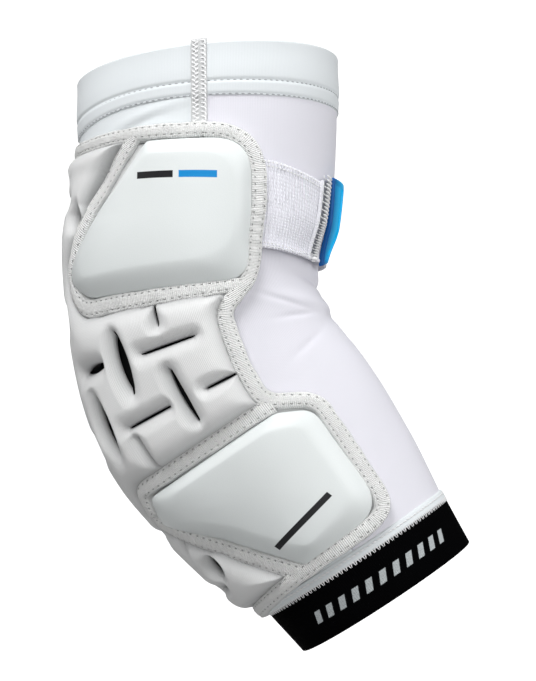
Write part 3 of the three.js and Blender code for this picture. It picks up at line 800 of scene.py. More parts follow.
def slit_foam(material, slot, node):
    """The foam: one soft sheet with short slits, puffed up between them and tucked under the tapes."""
    moved_rows = []
    moved_columns = []
    for (row, column), slit in SLITS.items():
        if (row + column) % 2:
            moved_rows.append(SLIT_ROW + row * SLIT_PITCH + slit["down"])
        else:
            moved_columns.append(-column * SLIT_PITCH + slit["around"])
    shade_depths = []
    downs = lattice_steps(PAD_HEAD - 2, PAD_FOOT + 8, SLIT_ROW, moved_rows)
    arounds = lattice_steps(back_of(PAD_HEAD) - 48, NEAR_REACH, 0, moved_columns)

    def cloth(down, around):
        along = downs[np.rint(down * (len(downs) - 1)).astype(int)]
        across = arounds[np.rint(around * (len(arounds) - 1)).astype(int)]
        return along, across

    def place(down, around):
        along, across = cloth(down, around)
        slit_away = np.full(len(along), 99.0)
        shift_along = np.zeros(len(along))
        shift_across = np.zeros(len(along))
        for lengthwise, sideways, runs_down, half, width in nearest_slits(along, across):
            beyond = np.maximum(np.abs(lengthwise) - half + 1, 0)
            away = np.where(width < 0, 99, np.hypot(beyond, sideways))
            slit_away = np.minimum(slit_away, away)
            mouth = np.clip(1 - (lengthwise / half) ** 2, 0, 1)
            spread = np.maximum(width / 2 - 0.3, 0)
            push = np.sign(sideways) * spread * mouth * np.exp(-((np.abs(sideways) / 6) ** 2))
            shift_across += np.where(runs_down, push, 0)
            shift_along += np.where(runs_down, 0, push)
        tape_away = np.minimum(distance_to(UPPER_TAPE_LINE, along, across),
                               distance_to(LOWER_TAPE_LINE, along, across))
        tape_away = np.minimum(tape_away, distance_to(BORDER, along, across)) - TAPE_WIDTH / 2
        under = is_inside(UPPER_LOOP, along, across) | is_inside(LOWER_LOOP, along, across)
        under |= ~is_inside(BORDER, along, across)
        lift = back_lift(along, across)
        slit_rise = rise_from(slit_away - 0.15)
        tape_rise = rise_from(tape_away + 0.6)
        height = 3.2 + 6.8 * slit_rise
        height = np.minimum(height, 3.4 + 0.8 * lift + (6.2 - 0.6 * lift) * tape_rise)
        # Painted shade: how deep each point lies in a crease by a slit or a tape, kept to darken the foam's
        # colour there.
        shade_depths.append(1 - np.minimum(slit_rise, tape_rise))
        lip = 0.3 * np.exp(-(((slit_away - 0.6) / 0.4) ** 2))
        slack = 0.25 * np.sin(along / 6.3 + 1) * np.sin(across / 7.1)
        height = np.where(under, 2.4 + 0.5 * lift, height + lip + slack * tape_rise * slit_rise)
        height += swell(along, across) * np.where(under, 0.6, 0.75 + 0.25 * tape_rise)
        return along + shift_along, across + shift_across, height

    foam = flat_grid("slit_foam", len(downs) - 1, len(arounds) - 1, place, cloth)
    # Stores the painted shade of the creases on the sheet's points.
    painted_crease_shade = foam.data.attributes.new("painted_crease_shade", "FLOAT", "POINT")
    painted_crease_shade.data.foreach_set("value", shade_depths[0])
    open_slits(foam)
    wrap(foam)
    finish_with(foam, "SOLIDIFY", thickness=0.0012, offset=-1)
    return dress(foam, material, slot, node)


def square_middles(sheet):
    """Where the middle of each square of a sheet lies on its cloth map."""
    cloth = np.empty(len(sheet.data.loops) * 2)
    sheet.data.uv_layers.active.data.foreach_get("uv", cloth)
    return cloth.reshape(-1, 4, 2).mean(axis=1).T


def open_slits(foam):
    """Deletes the squares of the foam's sheet that lie in a slit or outside the border."""
    along, across = square_middles(foam)
    gone = ~is_inside(BORDER, along, across)
    for lengthwise, sideways, _, half, width in nearest_slits(along, across):
        gone |= (np.abs(sideways) < 0.15) & (np.abs(lengthwise) < half - 0.6) & (width > 0)
    delete_squares(foam, gone)


def pad_liner(material, slot, node):
    """The black inner cloth, seen through the slits."""
    low = back_of(PAD_HEAD) - 47

    def place(down, around):
        along = PAD_HEAD + 1 + (PAD_HEIGHT + 3) * down
        across = low + (NEAR_REACH - low) * around
        return along, across, LINER_HEIGHT + 0 * along

    liner = flat_grid("pad_liner_cloth", 90, 60, place)
    delete_squares(liner, ~is_inside(BORDER, *square_middles(liner)))
    wrap(liner)
    finish_with(liner, "SOLIDIFY", thickness=0.0004, offset=-1)
    return dress(liner, material, slot, node)


def delete_squares(piece, gone):
    edit_all(
        piece,
        lambda: bpy.ops.mesh.select_mode(type="FACE"),
        lambda: bpy.ops.mesh.select_all(action="DESELECT"),
    )
    piece.data.polygons.foreach_set("select", gone)
    bpy.ops.object.mode_set(mode="EDIT")
    bpy.ops.mesh.delete(type="FACE")
    bpy.ops.mesh.select_mode(type="VERT")
    bpy.ops.object.mode_set(mode="OBJECT")


# The strap and its tab.
def strap_turn():
    return float(turn_of(np.array([STRAP_HEAD]), STRAP_REACH)[0])


def strap_edges(across):
    """Head and foot of the strap, which widens and drops toward its bar and evens out behind."""
    slant = soft_step((across - 20) / 42) * (1 - soft_step((across - 80) / 60))
    return STRAP_HEAD + 6.5 * slant, STRAP_HEAD + STRAP_WIDTH + 7.0 * slant


def strap_band(name, across_from, across_to, columns, material, slot, node):
    """Ribbed elastic webbing round the arm, standing off a little at the elbow side."""
    def place(down, around):
        across = across_from + (across_to - across_from) * around
        head, foot = strap_edges(across)
        along = head + (foot - head) * down
        ribs = 0.2 * np.sin(across * 2 * math.pi / 1.4)
        edge = 0.3 * np.exp(-(((np.abs(2 * down - 1) - 0.93) / 0.03) ** 2))
        slack = 0.8 * np.clip((down - 0.8) / 0.2, 0, 1) ** 2
        return along, across, STRAP_TOP - 0.2 + ribs + edge + slack

    def cloth(down, around):
        across = across_from + (across_to - across_from) * around
        return STRAP_WIDTH * down, across

    band = flat_grid(name, 74, columns, place, cloth)
    wrap(band)
    finish_with(band, "SOLIDIFY", thickness=0.0013, offset=-1)
    return dress(band, material, slot, node)


def sew_strap_edges(thread, slot):
    """Two rows of short stitches along each edge of the strap's front."""
    places = []
    for across in np.arange(NEAR_REACH + 2.5, STRAP_REACH - 5, 1.7):
        head, foot = (float(edge) for edge in strap_edges(np.array(across)))
        for along in (head + 0.9, head + 2.5, foot - 0.9, foot - 2.5):
            lift = 0.8 if along > foot - 2 else 0.5 if along > foot - 4 else 0
            places.append((along, across, STRAP_TOP + 0.15 + lift, 84))
    sew("strap_edge_stitches", places, (1.25, 0.6, 0.5), thread, slot)


def strap_end(webbing, thread, shadow, slot, node):
    """The strap's end: a flat fold, a gap filled with a dark sheet of painted shadow, and a coarse bar of
    slanted loops.
    """
    turn = strap_turn()

    def across_bar(along):
        return across_of(np.asarray(along, dtype=float), turn)

    def strip(name, low, high, crown):
        def place(down, around):
            along = STRAP_HEAD + 5.2 + (STRAP_WIDTH + 0.6) * down
            across = across_bar(along) + low + (high - low) * around
            return along, across, STRAP_TOP + 0.1 + crown * np.sin(math.pi * around) ** 0.6

        piece = flat_grid(name, 60, 8, place)
        wrap(piece)
        return piece

    dress(strip("strap_fold", -6.9, -4.3, 0.7), webbing, slot)
    # Painted shadow: dark strips in the gap and under the loops of the bar.
    dress(strip("strap_shadow_gap", -4.5, -2.6, 0.1), shadow, slot)
    dress(strip("strap_bar_core", -2.9, 0.3, 0.6), shadow, slot, node)
    loops = []
    stitches = []
    for i in range(BAR_LOOPS):
        along = STRAP_HEAD + 3.8 + BAR_PITCH * i
        across = float(across_bar([along])[0])
        loops.append((along, across - 1.3, STRAP_TOP + 1.2, 66))
        if i % 2 == 0:
            stitches.append((along, across - 5.6, STRAP_TOP + 0.85, 0))
            stitches.append((along + 0.6, across - 3.7, STRAP_TOP + 0.5, 70))
    sew("strap_bar_loops", loops, (4.2, 0.95, 1.4), thread, slot)
    sew("strap_fold_stitches", stitches, (1.7, 0.5, 0.5), thread, slot)
    foot = STRAP_HEAD + STRAP_WIDTH + 5.8
    knot = [(foot, float(across_bar([foot])[0]) - 2.0, STRAP_TOP + 1.2, 0)]
    sew("strap_bar_knot", knot, (3.4, 3.6, 2.6), thread, slot)


# Corners of the pull tab: along as a share of the strap's width, across and round as shares of its length.
TAB_CORNERS = ((0.08, 0, 0.06), (0.09, 1, 0.24), (0.74, 0.94, 0.24), (1.17, 0.5, 0.14), (1.25, 0, 0.06))
# Rings of the tab from its edge inwards: how far in they lie and their height, in millimetres.
TAB_RINGS = ((0, 3.0), (0, 4.2), (0.15, 4.7), (0.5, 4.95), (1.5, 5.0), (2.0, 4.85), (2.3, 4.4), (2.6, 4.2))


def pull_tab(material, slot, node):
    """A moulded tab with a raised rim round a sunk face."""
    turn = strap_turn()
    start = float(across_of(np.array([STRAP_HEAD]), turn)[0]) - 0.2
    outline = draw_line([
        (STRAP_HEAD + a * STRAP_WIDTH, start + b * TAB_LENGTH, c * TAB_LENGTH) for a, b, c in TAB_CORNERS
    ], 0.7, closed=True)
    side = side_of(outline)
    centre = outline.mean(axis=0)
    insets, heights = np.array(TAB_RINGS).T
    count = len(TAB_RINGS) + 8
    inward = 1.0 if is_inside(outline, *(outline[:1] - side[:1] * 0.5).T)[0] else -1.0

    def place(run, around):
        ray = np.rint(around * (len(outline) - 1)).astype(int)
        number = np.rint(run * count).astype(int)
        ring_number = np.minimum(number, len(TAB_RINGS) - 1)
        inner = np.clip((number - len(TAB_RINGS) + 1) / 9, 0, 1)
        edge = outline[ray] - side[ray] * insets[ring_number][:, None] * inward
        point = edge + (centre - edge) * inner[:, None]
        return point[:, 0], point[:, 1], heights[ring_number]

    tab = flat_grid("pull_tab", count, len(outline) - 1, place)
    wrap(tab)
    close_ring(tab)
    face_outwards(tab)
    return dress(tab, material, slot, node)


# Finishes.
def feed(tree, socket, value):
    """Links an output to a socket, or sets the socket's own value."""
    if hasattr(value, "is_output"):
        tree.links.new(value, socket)
    else:
        socket.default_value = value


def feed_named(tree, node, inputs):
    """Feeds a node's inputs by name, spaces written as underscores."""
    for name, value in inputs.items():
        feed(tree, node.inputs[name.replace("_", " ")], value)


def add_node(tree, kind, **inputs):
    node = tree.nodes.new(kind)
    feed_named(tree, node, inputs)
    return node


def calc(tree, operation, *values):
    """One Math node."""
    node = tree.nodes.new("ShaderNodeMath")
    node.operation = operation
    for socket, value in zip(node.inputs, values):
        feed(tree, socket, value)
    return node.outputs[0]


def between_0_and_1(tree, value):
    return calc(tree, "MINIMUM", calc(tree, "MAXIMUM", value, 0.0), 1.0)


def mix_colours(tree, factor, first, second):
    """The first colour where the factor is 0 and the second where it is 1."""
    mix = tree.nodes.new("ShaderNodeMix")
    mix.data_type = "RGBA"
    feed_named(tree, mix, {"Factor": factor, "A": first, "B": second})
    return mix.outputs["Result"]


def new_group(name, inputs, outputs):
    """An empty shader group with named float, vector or colour sockets."""
    group = bpy.data.node_groups.new(name, "ShaderNodeTree")
    kinds = {"f": "NodeSocketFloat", "v": "NodeSocketVector", "c": "NodeSocketColor"}
    for title, kind in inputs:
        group.interface.new_socket(name=title, in_out="INPUT", socket_type=kinds[kind])
    for title, kind in outputs:
        group.interface.new_socket(name=title, in_out="OUTPUT", socket_type=kinds[kind])
    return group, group.nodes.new("NodeGroupInput").outputs, group.nodes.new("NodeGroupOutput").inputs


def wave(tree, place, pitch):
    """0 to 1 and back once in each pitch."""
    turns = calc(tree, "DIVIDE", calc(tree, "MULTIPLY", place, 2 * math.pi), pitch)
    return calc(tree, "MULTIPLY_ADD", calc(tree, "SINE", turns), 0.5, 0.5)


def make_knit():
    """Rows of loops: ribs one way, courses the other, with a little unevenness."""
    tree, given, out = new_group(
        "Knit", [("Cloth", "v"), ("Rib", "f"), ("Course", "f"), ("Uneven", "f")],
        [("Height", "f"), ("Tone", "f")])
    split = add_node(tree, "ShaderNodeSeparateXYZ", Vector=given["Cloth"])
    rib = wave(tree, split.outputs["Y"], given["Rib"])
    course = wave(tree, split.outputs["X"], given["Course"])
    crossing = calc(tree, "MULTIPLY", rib, course)
    loops = calc(tree, "MULTIPLY_ADD", crossing, 0.6, calc(tree, "MULTIPLY", rib, 0.4))
    speck = add_node(tree, "ShaderNodeTexNoise", Vector=given["Cloth"], Scale=1.6, Detail=3.0)
    uneven = calc(tree, "MULTIPLY", calc(tree, "SUBTRACT", speck.outputs["Fac"], 0.5), given["Uneven"])
    height = calc(tree, "ADD", loops, uneven)
    tree.links.new(height, out["Height"])
    # Tone: lighter on the loops and darker down between them, painted shade in the knit's hollows, with a
    # little random unevenness.
    tree.links.new(calc(tree, "MULTIPLY_ADD", height, 0.3, 0.7), out["Tone"])
    return tree


def make_shade():
    """A colour that drifts softly toward a second one and darkens with a tone."""
    tree, given, out = new_group(
        "Cloth shade",
        [("Cloth", "v"), ("Colour", "c"), ("Drift", "c"), ("Scale", "f"), ("Tone", "f"), ("Depth", "f")],
        [("Colour", "c")])
    noise = add_node(tree, "ShaderNodeTexNoise", Vector=given["Cloth"], Scale=given["Scale"], Detail=2.0)
    drift = mix_colours(tree, noise.outputs["Fac"], given["Colour"], given["Drift"])
    lost = calc(tree, "MULTIPLY", calc(tree, "SUBTRACT", 1.0, given["Tone"]), given["Depth"])
    shade = add_node(tree, "ShaderNodeVectorMath")
    shade.operation = "SCALE"
    tree.links.new(drift, shade.inputs[0])
    tree.links.new(calc(tree, "SUBTRACT", 1.0, lost), shade.inputs["Scale"])
    tree.links.new(shade.outputs[0], out["Colour"])
    return tree


def make_tape_weave():
    """Ribs across a tape, with two rows of sunk stitches: cloth X runs along it and cloth Y across it."""
    tree, given, out = new_group(
        "Ribbed tape", [("Cloth", "v"), ("Rib", "f"), ("Stitch", "f"), ("Row", "f")],
        [("Height", "f"), ("Holes", "f")])
    split = add_node(tree, "ShaderNodeSeparateXYZ", Vector=given["Cloth"])
    rib = wave(tree, split.outputs["X"], given["Rib"])
    speck = add_node(tree, "ShaderNodeTexNoise", Vector=given["Cloth"], Scale=1.1, Detail=3.0)
    ribs = calc(tree, "MULTIPLY_ADD", speck.outputs["Fac"], 1.8, rib)
    across = calc(tree, "ABSOLUTE", split.outputs["Y"])
    away = calc(tree, "ABSOLUTE", calc(tree, "SUBTRACT", across, given["Row"]))
    on_row = calc(tree, "SUBTRACT", 1.0, calc(tree, "MULTIPLY", away, 2.5))
    on_row = calc(tree, "MAXIMUM", on_row, 0.0)
    dash = wave(tree, split.outputs["X"], given["Stitch"])
    hole = calc(tree, "MAXIMUM", calc(tree, "MULTIPLY_ADD", dash, 3.2, -2.2), 0.0)
    holes = calc(tree, "MULTIPLY", hole, on_row)
    tree.links.new(calc(tree, "MULTIPLY_ADD", holes, -2.5, ribs), out["Height"])
    tree.links.new(holes, out["Holes"])
    return tree


def make_bar():
    """A plain bar printed on the cloth: 1 inside, 0 outside."""
    tree, given, out = new_group(
        "Plain bar",
        [("Cloth", "v"), ("Middle", "v"), ("Half length", "f"), ("Half width", "f"), ("Turn", "f")],
        [("Mask", "f")])
    away = add_node(tree, "ShaderNodeVectorMath")
    away.operation = "SUBTRACT"
    tree.links.new(given["Cloth"], away.inputs[0])
    tree.links.new(given["Middle"], away.inputs[1])
    turned = tree.nodes.new("ShaderNodeVectorRotate")
    turned.rotation_type = "Z_AXIS"
    tree.links.new(away.outputs[0], turned.inputs["Vector"])
    tree.links.new(given["Turn"], turned.inputs["Angle"])
    split = add_node(tree, "ShaderNodeSeparateXYZ", Vector=turned.outputs[0])
    wide = calc(tree, "SUBTRACT", given["Half length"], calc(tree, "ABSOLUTE", split.outputs["X"]))
    tall = calc(tree, "SUBTRACT", given["Half width"], calc(tree, "ABSOLUTE", split.outputs["Y"]))
    edge = calc(tree, "MULTIPLY_ADD", calc(tree, "MINIMUM", wide, tall), 6.0, 0.5)
    tree.links.new(between_0_and_1(tree, edge), out["Mask"])
    return tree


KNIT = make_knit()
SHADE = make_shade()
TAPE_WEAVE = make_tape_weave()
BAR = make_bar()


def use(tree, group, **inputs):
    """Places a shader group with its inputs and returns its outputs."""
    node = tree.nodes.new("ShaderNodeGroup")
    node.node_tree = group
    feed_named(tree, node, inputs)
    return node.outputs


def start_material(name, roughness, sheen=0.0):
    """A material with its tree, its shader and the cloth map's output."""
    material = bpy.data.materials.new(name)
    material.use_nodes = True
    tree = material.node_tree
    shader = tree.nodes["Principled BSDF"]
    shader.inputs["Roughness"].default_value = roughness
    shader.inputs["Sheen Weight"].default_value = sheen
    shader.inputs["Sheen Roughness"].default_value = 0.5
    shader.inputs["Specular IOR Level"].default_value = 0.3
    cloth = tree.nodes.new("ShaderNodeUVMap")
    cloth.uv_map = "cloth"
    return material, tree, shader, cloth.outputs["UV"]


def raise_surface(tree, shader, height, distance):
    """Bumps the surface by a height whose step from 0 to 1 is given in millimetres."""
    bump = tree.nodes.new("ShaderNodeBump")
    bump.inputs["Distance"].default_value = distance / 1000
    tree.links.new(height, bump.inputs["Height"])
    tree.links.new(bump.outputs["Normal"], shader.inputs["Normal"])


def knit_material(name, colour, drift, rib, course, depth, raised, roughness=0.9, sheen=0.1, uneven=0.6):
    """Knitted or woven cloth: its two colours, the pitch of its ribs and courses, and its contrast: how far
    painted shade darkens it between the loops, and the height of its bump.
    """
    material, tree, shader, cloth = start_material(name, roughness, sheen)
    knit = use(tree, KNIT, Cloth=cloth, Rib=rib, Course=course, Uneven=uneven)
    shade = use(tree, SHADE, Cloth=cloth, Colour=(*colour, 1), Drift=(*drift, 1), Scale=0.05,
                Tone=knit["Tone"], Depth=depth)
    tree.links.new(shade["Colour"], shader.inputs["Base Color"])
    raise_surface(tree, shader, knit["Height"], raised)
    return material, tree, shader, cloth, shade


def foam_material():
    """Brushed cover of the foam, with painted shade that darkens it down in its creases."""
    material, tree, shader, _, shade = knit_material(
        "foam_cover_knit", (0.82, 0.825, 0.825), (0.78, 0.785, 0.785),
        rib=0.6, course=0.5, depth=0.12, raised=0.08)
    painted_crease_shade = tree.nodes.new("ShaderNodeAttribute")
    painted_crease_shade.attribute_name = "painted_crease_shade"
    # Painted shade: the foam's colour turns toward dark grey down in its creases.
    shade_amount = calc(tree, "MULTIPLY", calc(tree, "POWER", painted_crease_shade.outputs["Fac"], 1.3), 0.85)
    shaded = mix_colours(tree, shade_amount, shade["Colour"], (0.3, 0.305, 0.31, 1))
    tree.links.new(shaded, shader.inputs["Base Color"])
    return material


def tape_material():
    """White ribbed binding, with painted shade darkening it down in its stitch holes."""
    material, tree, shader, cloth = start_material("ribbed_binding", 0.85, 0.1)
    weave = use(tree, TAPE_WEAVE, Cloth=cloth, Rib=0.72, Stitch=2.9, Row=2.1)
    # Painted shade: the stitch holes darken the tape's colour.
    lit = calc(tree, "SUBTRACT", 1.0, calc(tree, "MULTIPLY", weave["Holes"], 0.75))
    shade = use(tree, SHADE, Cloth=cloth, Colour=(0.96, 0.96, 0.945, 1), Drift=(0.86, 0.87, 0.865, 1),
                Scale=0.16, Tone=calc(tree, "MAXIMUM", lit, 0.0), Depth=0.72)
    tree.links.new(shade["Colour"], shader.inputs["Base Color"])
    raise_surface(tree, shader, weave["Height"], 0.33)
    return material


def guard_material(name, bars):
    """Satin moulded shell with plain printed bars: middle, half sizes, turn and colour of each."""
    material, tree, shader, cloth = start_material(name, 0.42)
    grain = add_node(tree, "ShaderNodeTexNoise", Vector=cloth, Scale=2.2, Detail=4.0)
    shade = use(tree, SHADE, Cloth=cloth, Colour=(0.8, 0.835, 0.83, 1), Drift=(0.76, 0.8, 0.8, 1),
                Scale=0.03, Tone=grain.outputs["Fac"], Depth=0.05)
    colour = shade["Colour"]
    for middle, half_length, half_width, turn, ink in bars:
        mask = use(tree, BAR, Cloth=cloth, Middle=(*middle, 0), Half_length=half_length,
                   Half_width=half_width, Turn=math.radians(turn))["Mask"]
        colour = mix_colours(tree, mask, colour, (*ink, 1))
    tree.links.new(colour, shader.inputs["Base Color"])
    raise_surface(tree, shader, grain.outputs["Fac"], 0.05)
    return material


# The row of bars woven into the cuff: its middle along the arm, half its height, how far the bars slant for
# each millimetre along, their pitch, and the middle and half the reach of the row round the arm.
CUFF_BARS = {"along": 132.5, "half": 2.6, "slant": 0.55, "pitch": 7.4, "middle": 75.85, "reach": 40.7}


def cuff_material():
    """Black ribbed elastic with a row of plain slanted bars woven in."""
    material, tree, shader, cloth, shade = knit_material(
        "black_cuff_elastic", (0.001, 0.001, 0.0012), (0.002, 0.002, 0.0024),
        rib=1.1, course=0.8, depth=0.5, raised=0.12, roughness=0.9, sheen=0.0)
    shader.inputs["Specular IOR Level"].default_value = 0.01
    split = add_node(tree, "ShaderNodeSeparateXYZ", Vector=cloth)
    slanted = calc(tree, "MULTIPLY_ADD", split.outputs["X"], CUFF_BARS["slant"], split.outputs["Y"])
    beat = wave(tree, slanted, CUFF_BARS["pitch"])
    bar = between_0_and_1(tree, calc(tree, "MULTIPLY_ADD", beat, 9.0, -4.4))
    level = use(tree, BAR, Cloth=cloth, Middle=(CUFF_BARS["along"], 4, 0), Half_length=CUFF_BARS["half"],
                Half_width=60.0, Turn=0.0)["Mask"]
    beyond = calc(tree, "ABSOLUTE", calc(tree, "SUBTRACT", slanted, CUFF_BARS["middle"]))
    band = calc(tree, "MULTIPLY", level, calc(tree, "LESS_THAN", beyond, CUFF_BARS["reach"]))
    woven = mix_colours(tree, calc(tree, "MULTIPLY", bar, band), shade["Colour"], (0.42, 0.45, 0.46, 1))
    tree.links.new(woven, shader.inputs["Base Color"])
    return material


# How many millimetres the tab's painted shade takes to give way to its bright colour.
TAB_SHADE_REACH = 9.0


def tab_material():
    """Bright moulded tab, with painted shade deepening its colour toward the strap."""
    material, tree, shader, cloth = start_material("blue_moulded_tab", 0.35)
    grain = add_node(tree, "ShaderNodeTexNoise", Vector=cloth, Scale=0.7, Detail=3.0)
    split = add_node(tree, "ShaderNodeSeparateXYZ", Vector=cloth)
    lit_share = calc(tree, "MULTIPLY_ADD", split.outputs["Y"], 1 / TAB_SHADE_REACH, -(STRAP_REACH + 0.5) / TAB_SHADE_REACH)
    lit_share = between_0_and_1(tree, lit_share)
    # Painted shade: deep navy by the strap, fading into the bright blue.
    fade = mix_colours(tree, lit_share, (0.0, 0.09, 0.33, 1), (0.0, 0.52, 1.0, 1))
    tree.links.new(fade, shader.inputs["Base Color"])
    raise_surface(tree, shader, grain.outputs["Fac"], 0.04)
    return material


def make_materials():
    return {
        "white_knit": knit_material(
            "white_sleeve_knit", (0.75, 0.785, 0.805), (0.73, 0.77, 0.79),
            rib=0.55, course=0.45, depth=0.06, raised=0.022)[0],
        "matte_knit": knit_material(
            "matte_sleeve_knit", (0.765, 0.755, 0.82), (0.745, 0.745, 0.80),
            rib=0.7, course=0.6, depth=0.1, raised=0.04)[0],
        "foam": foam_material(),
        "webbing": knit_material(
            "strap_webbing", (0.94, 0.94, 1.0), (0.9, 0.9, 0.97),
            rib=1.4, course=1.6, depth=0.35, raised=0.3, roughness=0.9, sheen=0.2, uneven=1.0)[0],
        "liner": knit_material(
            "black_liner_knit", (0.006, 0.006, 0.007), (0.009, 0.009, 0.01),
            rib=0.8, course=0.7, depth=0.4, raised=0.06, roughness=0.95, sheen=0.0)[0],
        "seam_ground": knit_material(
            "seam_ground_knit", (0.66, 0.67, 0.68), (0.7, 0.71, 0.71),
            rib=0.5, course=0.5, depth=0.3, raised=0.1)[0],
        # Thread darkened to grey: painted shade along the hem's stitch rows.
        "shade_grey_thread": knit_material(
            "shade_grey_stitch_thread", (0.42, 0.44, 0.46), (0.48, 0.5, 0.52),
            rib=0.3, course=0.3, depth=0.2, raised=0.04, roughness=0.8, sheen=0.0)[0],
        "seam_shadow": knit_material(
            "seam_shadow_knit", (0.2, 0.21, 0.24), (0.25, 0.26, 0.29),
            rib=0.5, course=0.5, depth=0.3, raised=0.1, roughness=0.95, sheen=0.0)[0],
        "thread": knit_material(
            "white_thread", (0.93, 0.935, 0.94), (0.89, 0.89, 0.9),
            rib=0.3, course=0.3, depth=0.2, raised=0.04, roughness=0.8, sheen=0.1)[0],
        "tape": tape_material(),
        "cuff": cuff_material(),
        "upper_guard": guard_material("upper_guard_shell", (
            ((-56.5, -17), 6.5, 1.5, 90, (0.01, 0.01, 0.012)),
            ((-56.5, -2), 6.5, 1.5, 90, (0.0, 0.25, 0.62)),
        )),
        "lower_guard": guard_material("lower_guard_shell", (
            ((95, -10), 13.0, 1.3, 74, (0.01, 0.01, 0.012)),
        )),
        "tab": tab_material(),
    }


# Stage, light and camera.
STAGE_FLOOR = -0.55
COVE_FLAT = 1.4
COVE_CURVE = 0.9
COVE_RISE = 0.6
COVE_REACH = 5.0


def studio_material():
    """White card: lit by the lamps low down, and bright by itself behind the object."""
    material = bpy.data.materials.new("studio_white")
    material.use_nodes = True
    tree = material.node_tree
    shader = tree.nodes["Principled BSDF"]
    shader.inputs["Roughness"].default_value = 0.9
    shader.inputs["Base Color"].default_value = (0.46, 0.46, 0.46, 1)
    shader.inputs["Emission Color"].default_value = (1, 1, 1, 1)
    place = tree.nodes.new("ShaderNodeTexCoord")
    split = add_node(tree, "ShaderNodeSeparateXYZ", Vector=place.outputs["Object"])
    behind = calc(tree, "MULTIPLY_ADD", split.outputs["Y"], 4.0, -2.0)
    beside = calc(tree, "MULTIPLY_ADD", calc(tree, "ABSOLUTE", split.outputs["X"]), -4.0, 3.2)
    high = calc(tree, "MULTIPLY_ADD", split.outputs["Z"], -3.0, 3.8)
    glow = calc(tree, "MINIMUM", calc(tree, "MINIMUM", behind, high), calc(tree, "MINIMUM", beside, 1.0))
    tree.links.new(calc(tree, "MAXIMUM", glow, 0.0), shader.inputs["Emission Strength"])
    return material


def add_stage():
    """A round white cove: a flat floor that sweeps up into a wall on every side."""
    clear_selection()
    bpy.ops.mesh.primitive_grid_add(x_subdivisions=96, y_subdivisions=40, size=1)
    floor = bpy.context.object
    floor.name = "studio_cove"
    points = corners_of(floor)
    turn = (points[:, 0] + 0.5) * 2 * math.pi
    run = (points[:, 1] + 0.5) * COVE_REACH
    sweep = np.clip((run - COVE_FLAT) / COVE_CURVE, 0, 1) * math.pi / 2
    radius = np.minimum(run, COVE_FLAT) + COVE_RISE * np.sin(sweep)
    wall = np.maximum(run - COVE_FLAT - COVE_CURVE, 0)
    z = STAGE_FLOOR + COVE_RISE * (1 - np.cos(sweep)) + wall
    move_corners(floor, np.stack([radius * np.sin(turn), radius * np.cos(turn), z], axis=1))
    close_ring(floor)
    clear_selection()
    floor.select_set(True)
    bpy.context.view_layer.objects.active = floor
    bpy.ops.object.shade_smooth()
    floor.data.materials.append(studio_material())


def add_softbox(name, place, target, size, power):
    bpy.ops.object.light_add(type="AREA", location=place)
    lamp = bpy.context.object
    lamp.name = name
    lamp.data.shape = "RECTANGLE"
    lamp.data.size = size[0]
    lamp.data.size_y = size[1]
    lamp.data.energy = power
    aim = np.array(target) - np.array(place)
    lamp.visible_camera = False
    lamp.rotation_euler = (
        math.atan2(math.hypot(aim[0], aim[1]), -aim[2]), 0, math.atan2(-aim[0], aim[1]),
    )


def add_camera():
    """The photograph's view: square to the arm's outward side, from a little below it."""
    target = (0.0240, 0.0, -0.0078)
    distance = 0.760
    rise = math.radians(-5.5)
    place = (target[0], -distance * math.cos(rise), target[2] + distance * math.sin(rise))
    bpy.ops.object.camera_add(location=place, rotation=(math.radians(90) - rise, 0, 0))
    camera = bpy.context.object
    camera.data.lens = 90.3
    camera.data.sensor_width = 36
    bpy.context.scene.camera = camera


def add_light():
    bpy.context.scene.view_settings.view_transform = "Standard"
    world = bpy.context.scene.world or bpy.data.worlds.new("studio")
    bpy.context.scene.world = world
    world.use_nodes = True
    backdrop = world.node_tree.nodes["Background"]
    backdrop.inputs["Color"].default_value = (1.0, 1.0, 1.0, 1)
    backdrop.inputs["Strength"].default_value = 0.1
    middle = (0.02, 0, 0.03)
    # Each softbox's place and size are in metres, and its power in watts.
    add_softbox("key_softbox", (-0.2, -0.52, 0.66), middle, (0.42, 0.42), 6.3)
    add_softbox("right_softbox", (1.0, -0.4, 0.3), middle, (0.5, 0.9), 6.8)
    add_softbox("left_softbox", (-1.0, -0.5, 0.4), middle, (0.5, 0.9), 2.4)
    add_softbox("front_softbox", (0.1, -1.3, -0.05), middle, (0.8, 0.8), 3.6)


add_camera()
add_stage()
add_light()
finish = make_materials()

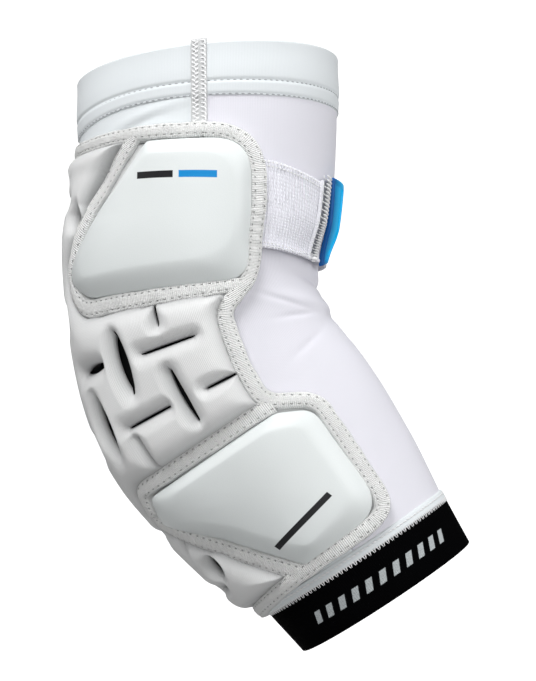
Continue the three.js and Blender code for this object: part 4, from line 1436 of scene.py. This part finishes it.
sleeve_panel("sleeve_back", FAR_SEAM_TURN - 360, NEAR_SEAM_TURN, finish["white_knit"], "white_knit",
             "sleeve_back_panel")
sleeve_panel("sleeve_front", NEAR_SEAM_TURN, FAR_SEAM_TURN, finish["matte_knit"], "matte_knit",
             "sleeve_front_panel")
ring("folded_hem", hem_profile(), finish["white_knit"], "white_knit", "top_hem", hem_drop)
ring("cuff_overlock", cuff_seam_profile(), finish["white_knit"], "matte_knit", "cuff_seam")
ring("black_cuff", cuff_profile(), finish["cuff"], "black_elastic", "wrist_cuff")
for name, row in zip(("hem_stitches_upper", "hem_stitches_lower"), HEM_ROWS):
    sew(name, round_the_arm(row, 2.6, 0.62, (90,), hem_drop), (1.5, 0.5, 0.45), finish["shade_grey_thread"],
        "seam_thread")
sew("cuff_stitches", round_the_arm(CUFF_HEAD + 0.2, 1.05, 0.95, (14, -14)), (2.7, 0.46, 0.42),
    finish["thread"], "seam_thread")
sew("cuff_chain", round_the_arm(CUFF_HEAD - 2.4, 1.9, 1.05, (78,)), (1.8, 0.6, 0.5),
    finish["thread"], "seam_thread")
flat_seam("near_seam", NEAR_SEAM_TURN, -UPPER_LENGTH - 1.6, PAD_HEAD - 2, finish["seam_ground"],
          finish["thread"], "seam_thread", "side_seam_near")
flat_seam("far_seam", FAR_SEAM_TURN, -UPPER_LENGTH - 0.6, CUFF_HEAD - 3, finish["seam_ground"],
          finish["thread"], "seam_thread", "side_seam_far")

pad_liner(finish["liner"], "black_liner", "pad_liner")
foam = slit_foam(finish["foam"], "covered_foam", "flex_panel")
tape("border_binding", BORDER, BORDER_WIDTH, finish["tape"], "binding_tape", "border_tape_near",
     "border_tape_far", pucker=0.9)
tape("upper_binding", UPPER_TAPE_LINE, UPPER_TAPE_WIDTH, finish["tape"], "binding_tape",
     "upper_guard_tape", top=GUARD_TAPE_TOP)
tape("lower_binding", LOWER_TAPE_LINE, LOWER_TAPE_WIDTH, finish["tape"], "binding_tape",
     "lower_guard_tape", top=GUARD_TAPE_TOP)

moulded_guard("upper_guard_shell", UPPER_GUARD, finish["upper_guard"], "moulded_guard", "upper_guard")
moulded_guard("lower_guard_shell", LOWER_GUARD, finish["lower_guard"], "moulded_guard", "lower_guard")

strap_join = STRAP_REACH - 3.4
strap_far_end = float(across_of(np.array([STRAP_HEAD + 20]), FAR_STRAP_TURN)[0])
strap_band("front_strap", NEAR_REACH - 1, strap_join, 300, finish["webbing"], "elastic_webbing",
           "elastic_strap")
strap_band("far_strap", strap_join, strap_far_end, 560, finish["webbing"], "elastic_webbing",
           "strap_far_band")
sew_strap_edges(finish["thread"], "seam_thread")
strap_end(finish["webbing"], finish["thread"], finish["seam_shadow"], "seam_thread", "strap_end_bar")
pull_tab(finish["tab"], "blue_tab", "strap_pull_tab")
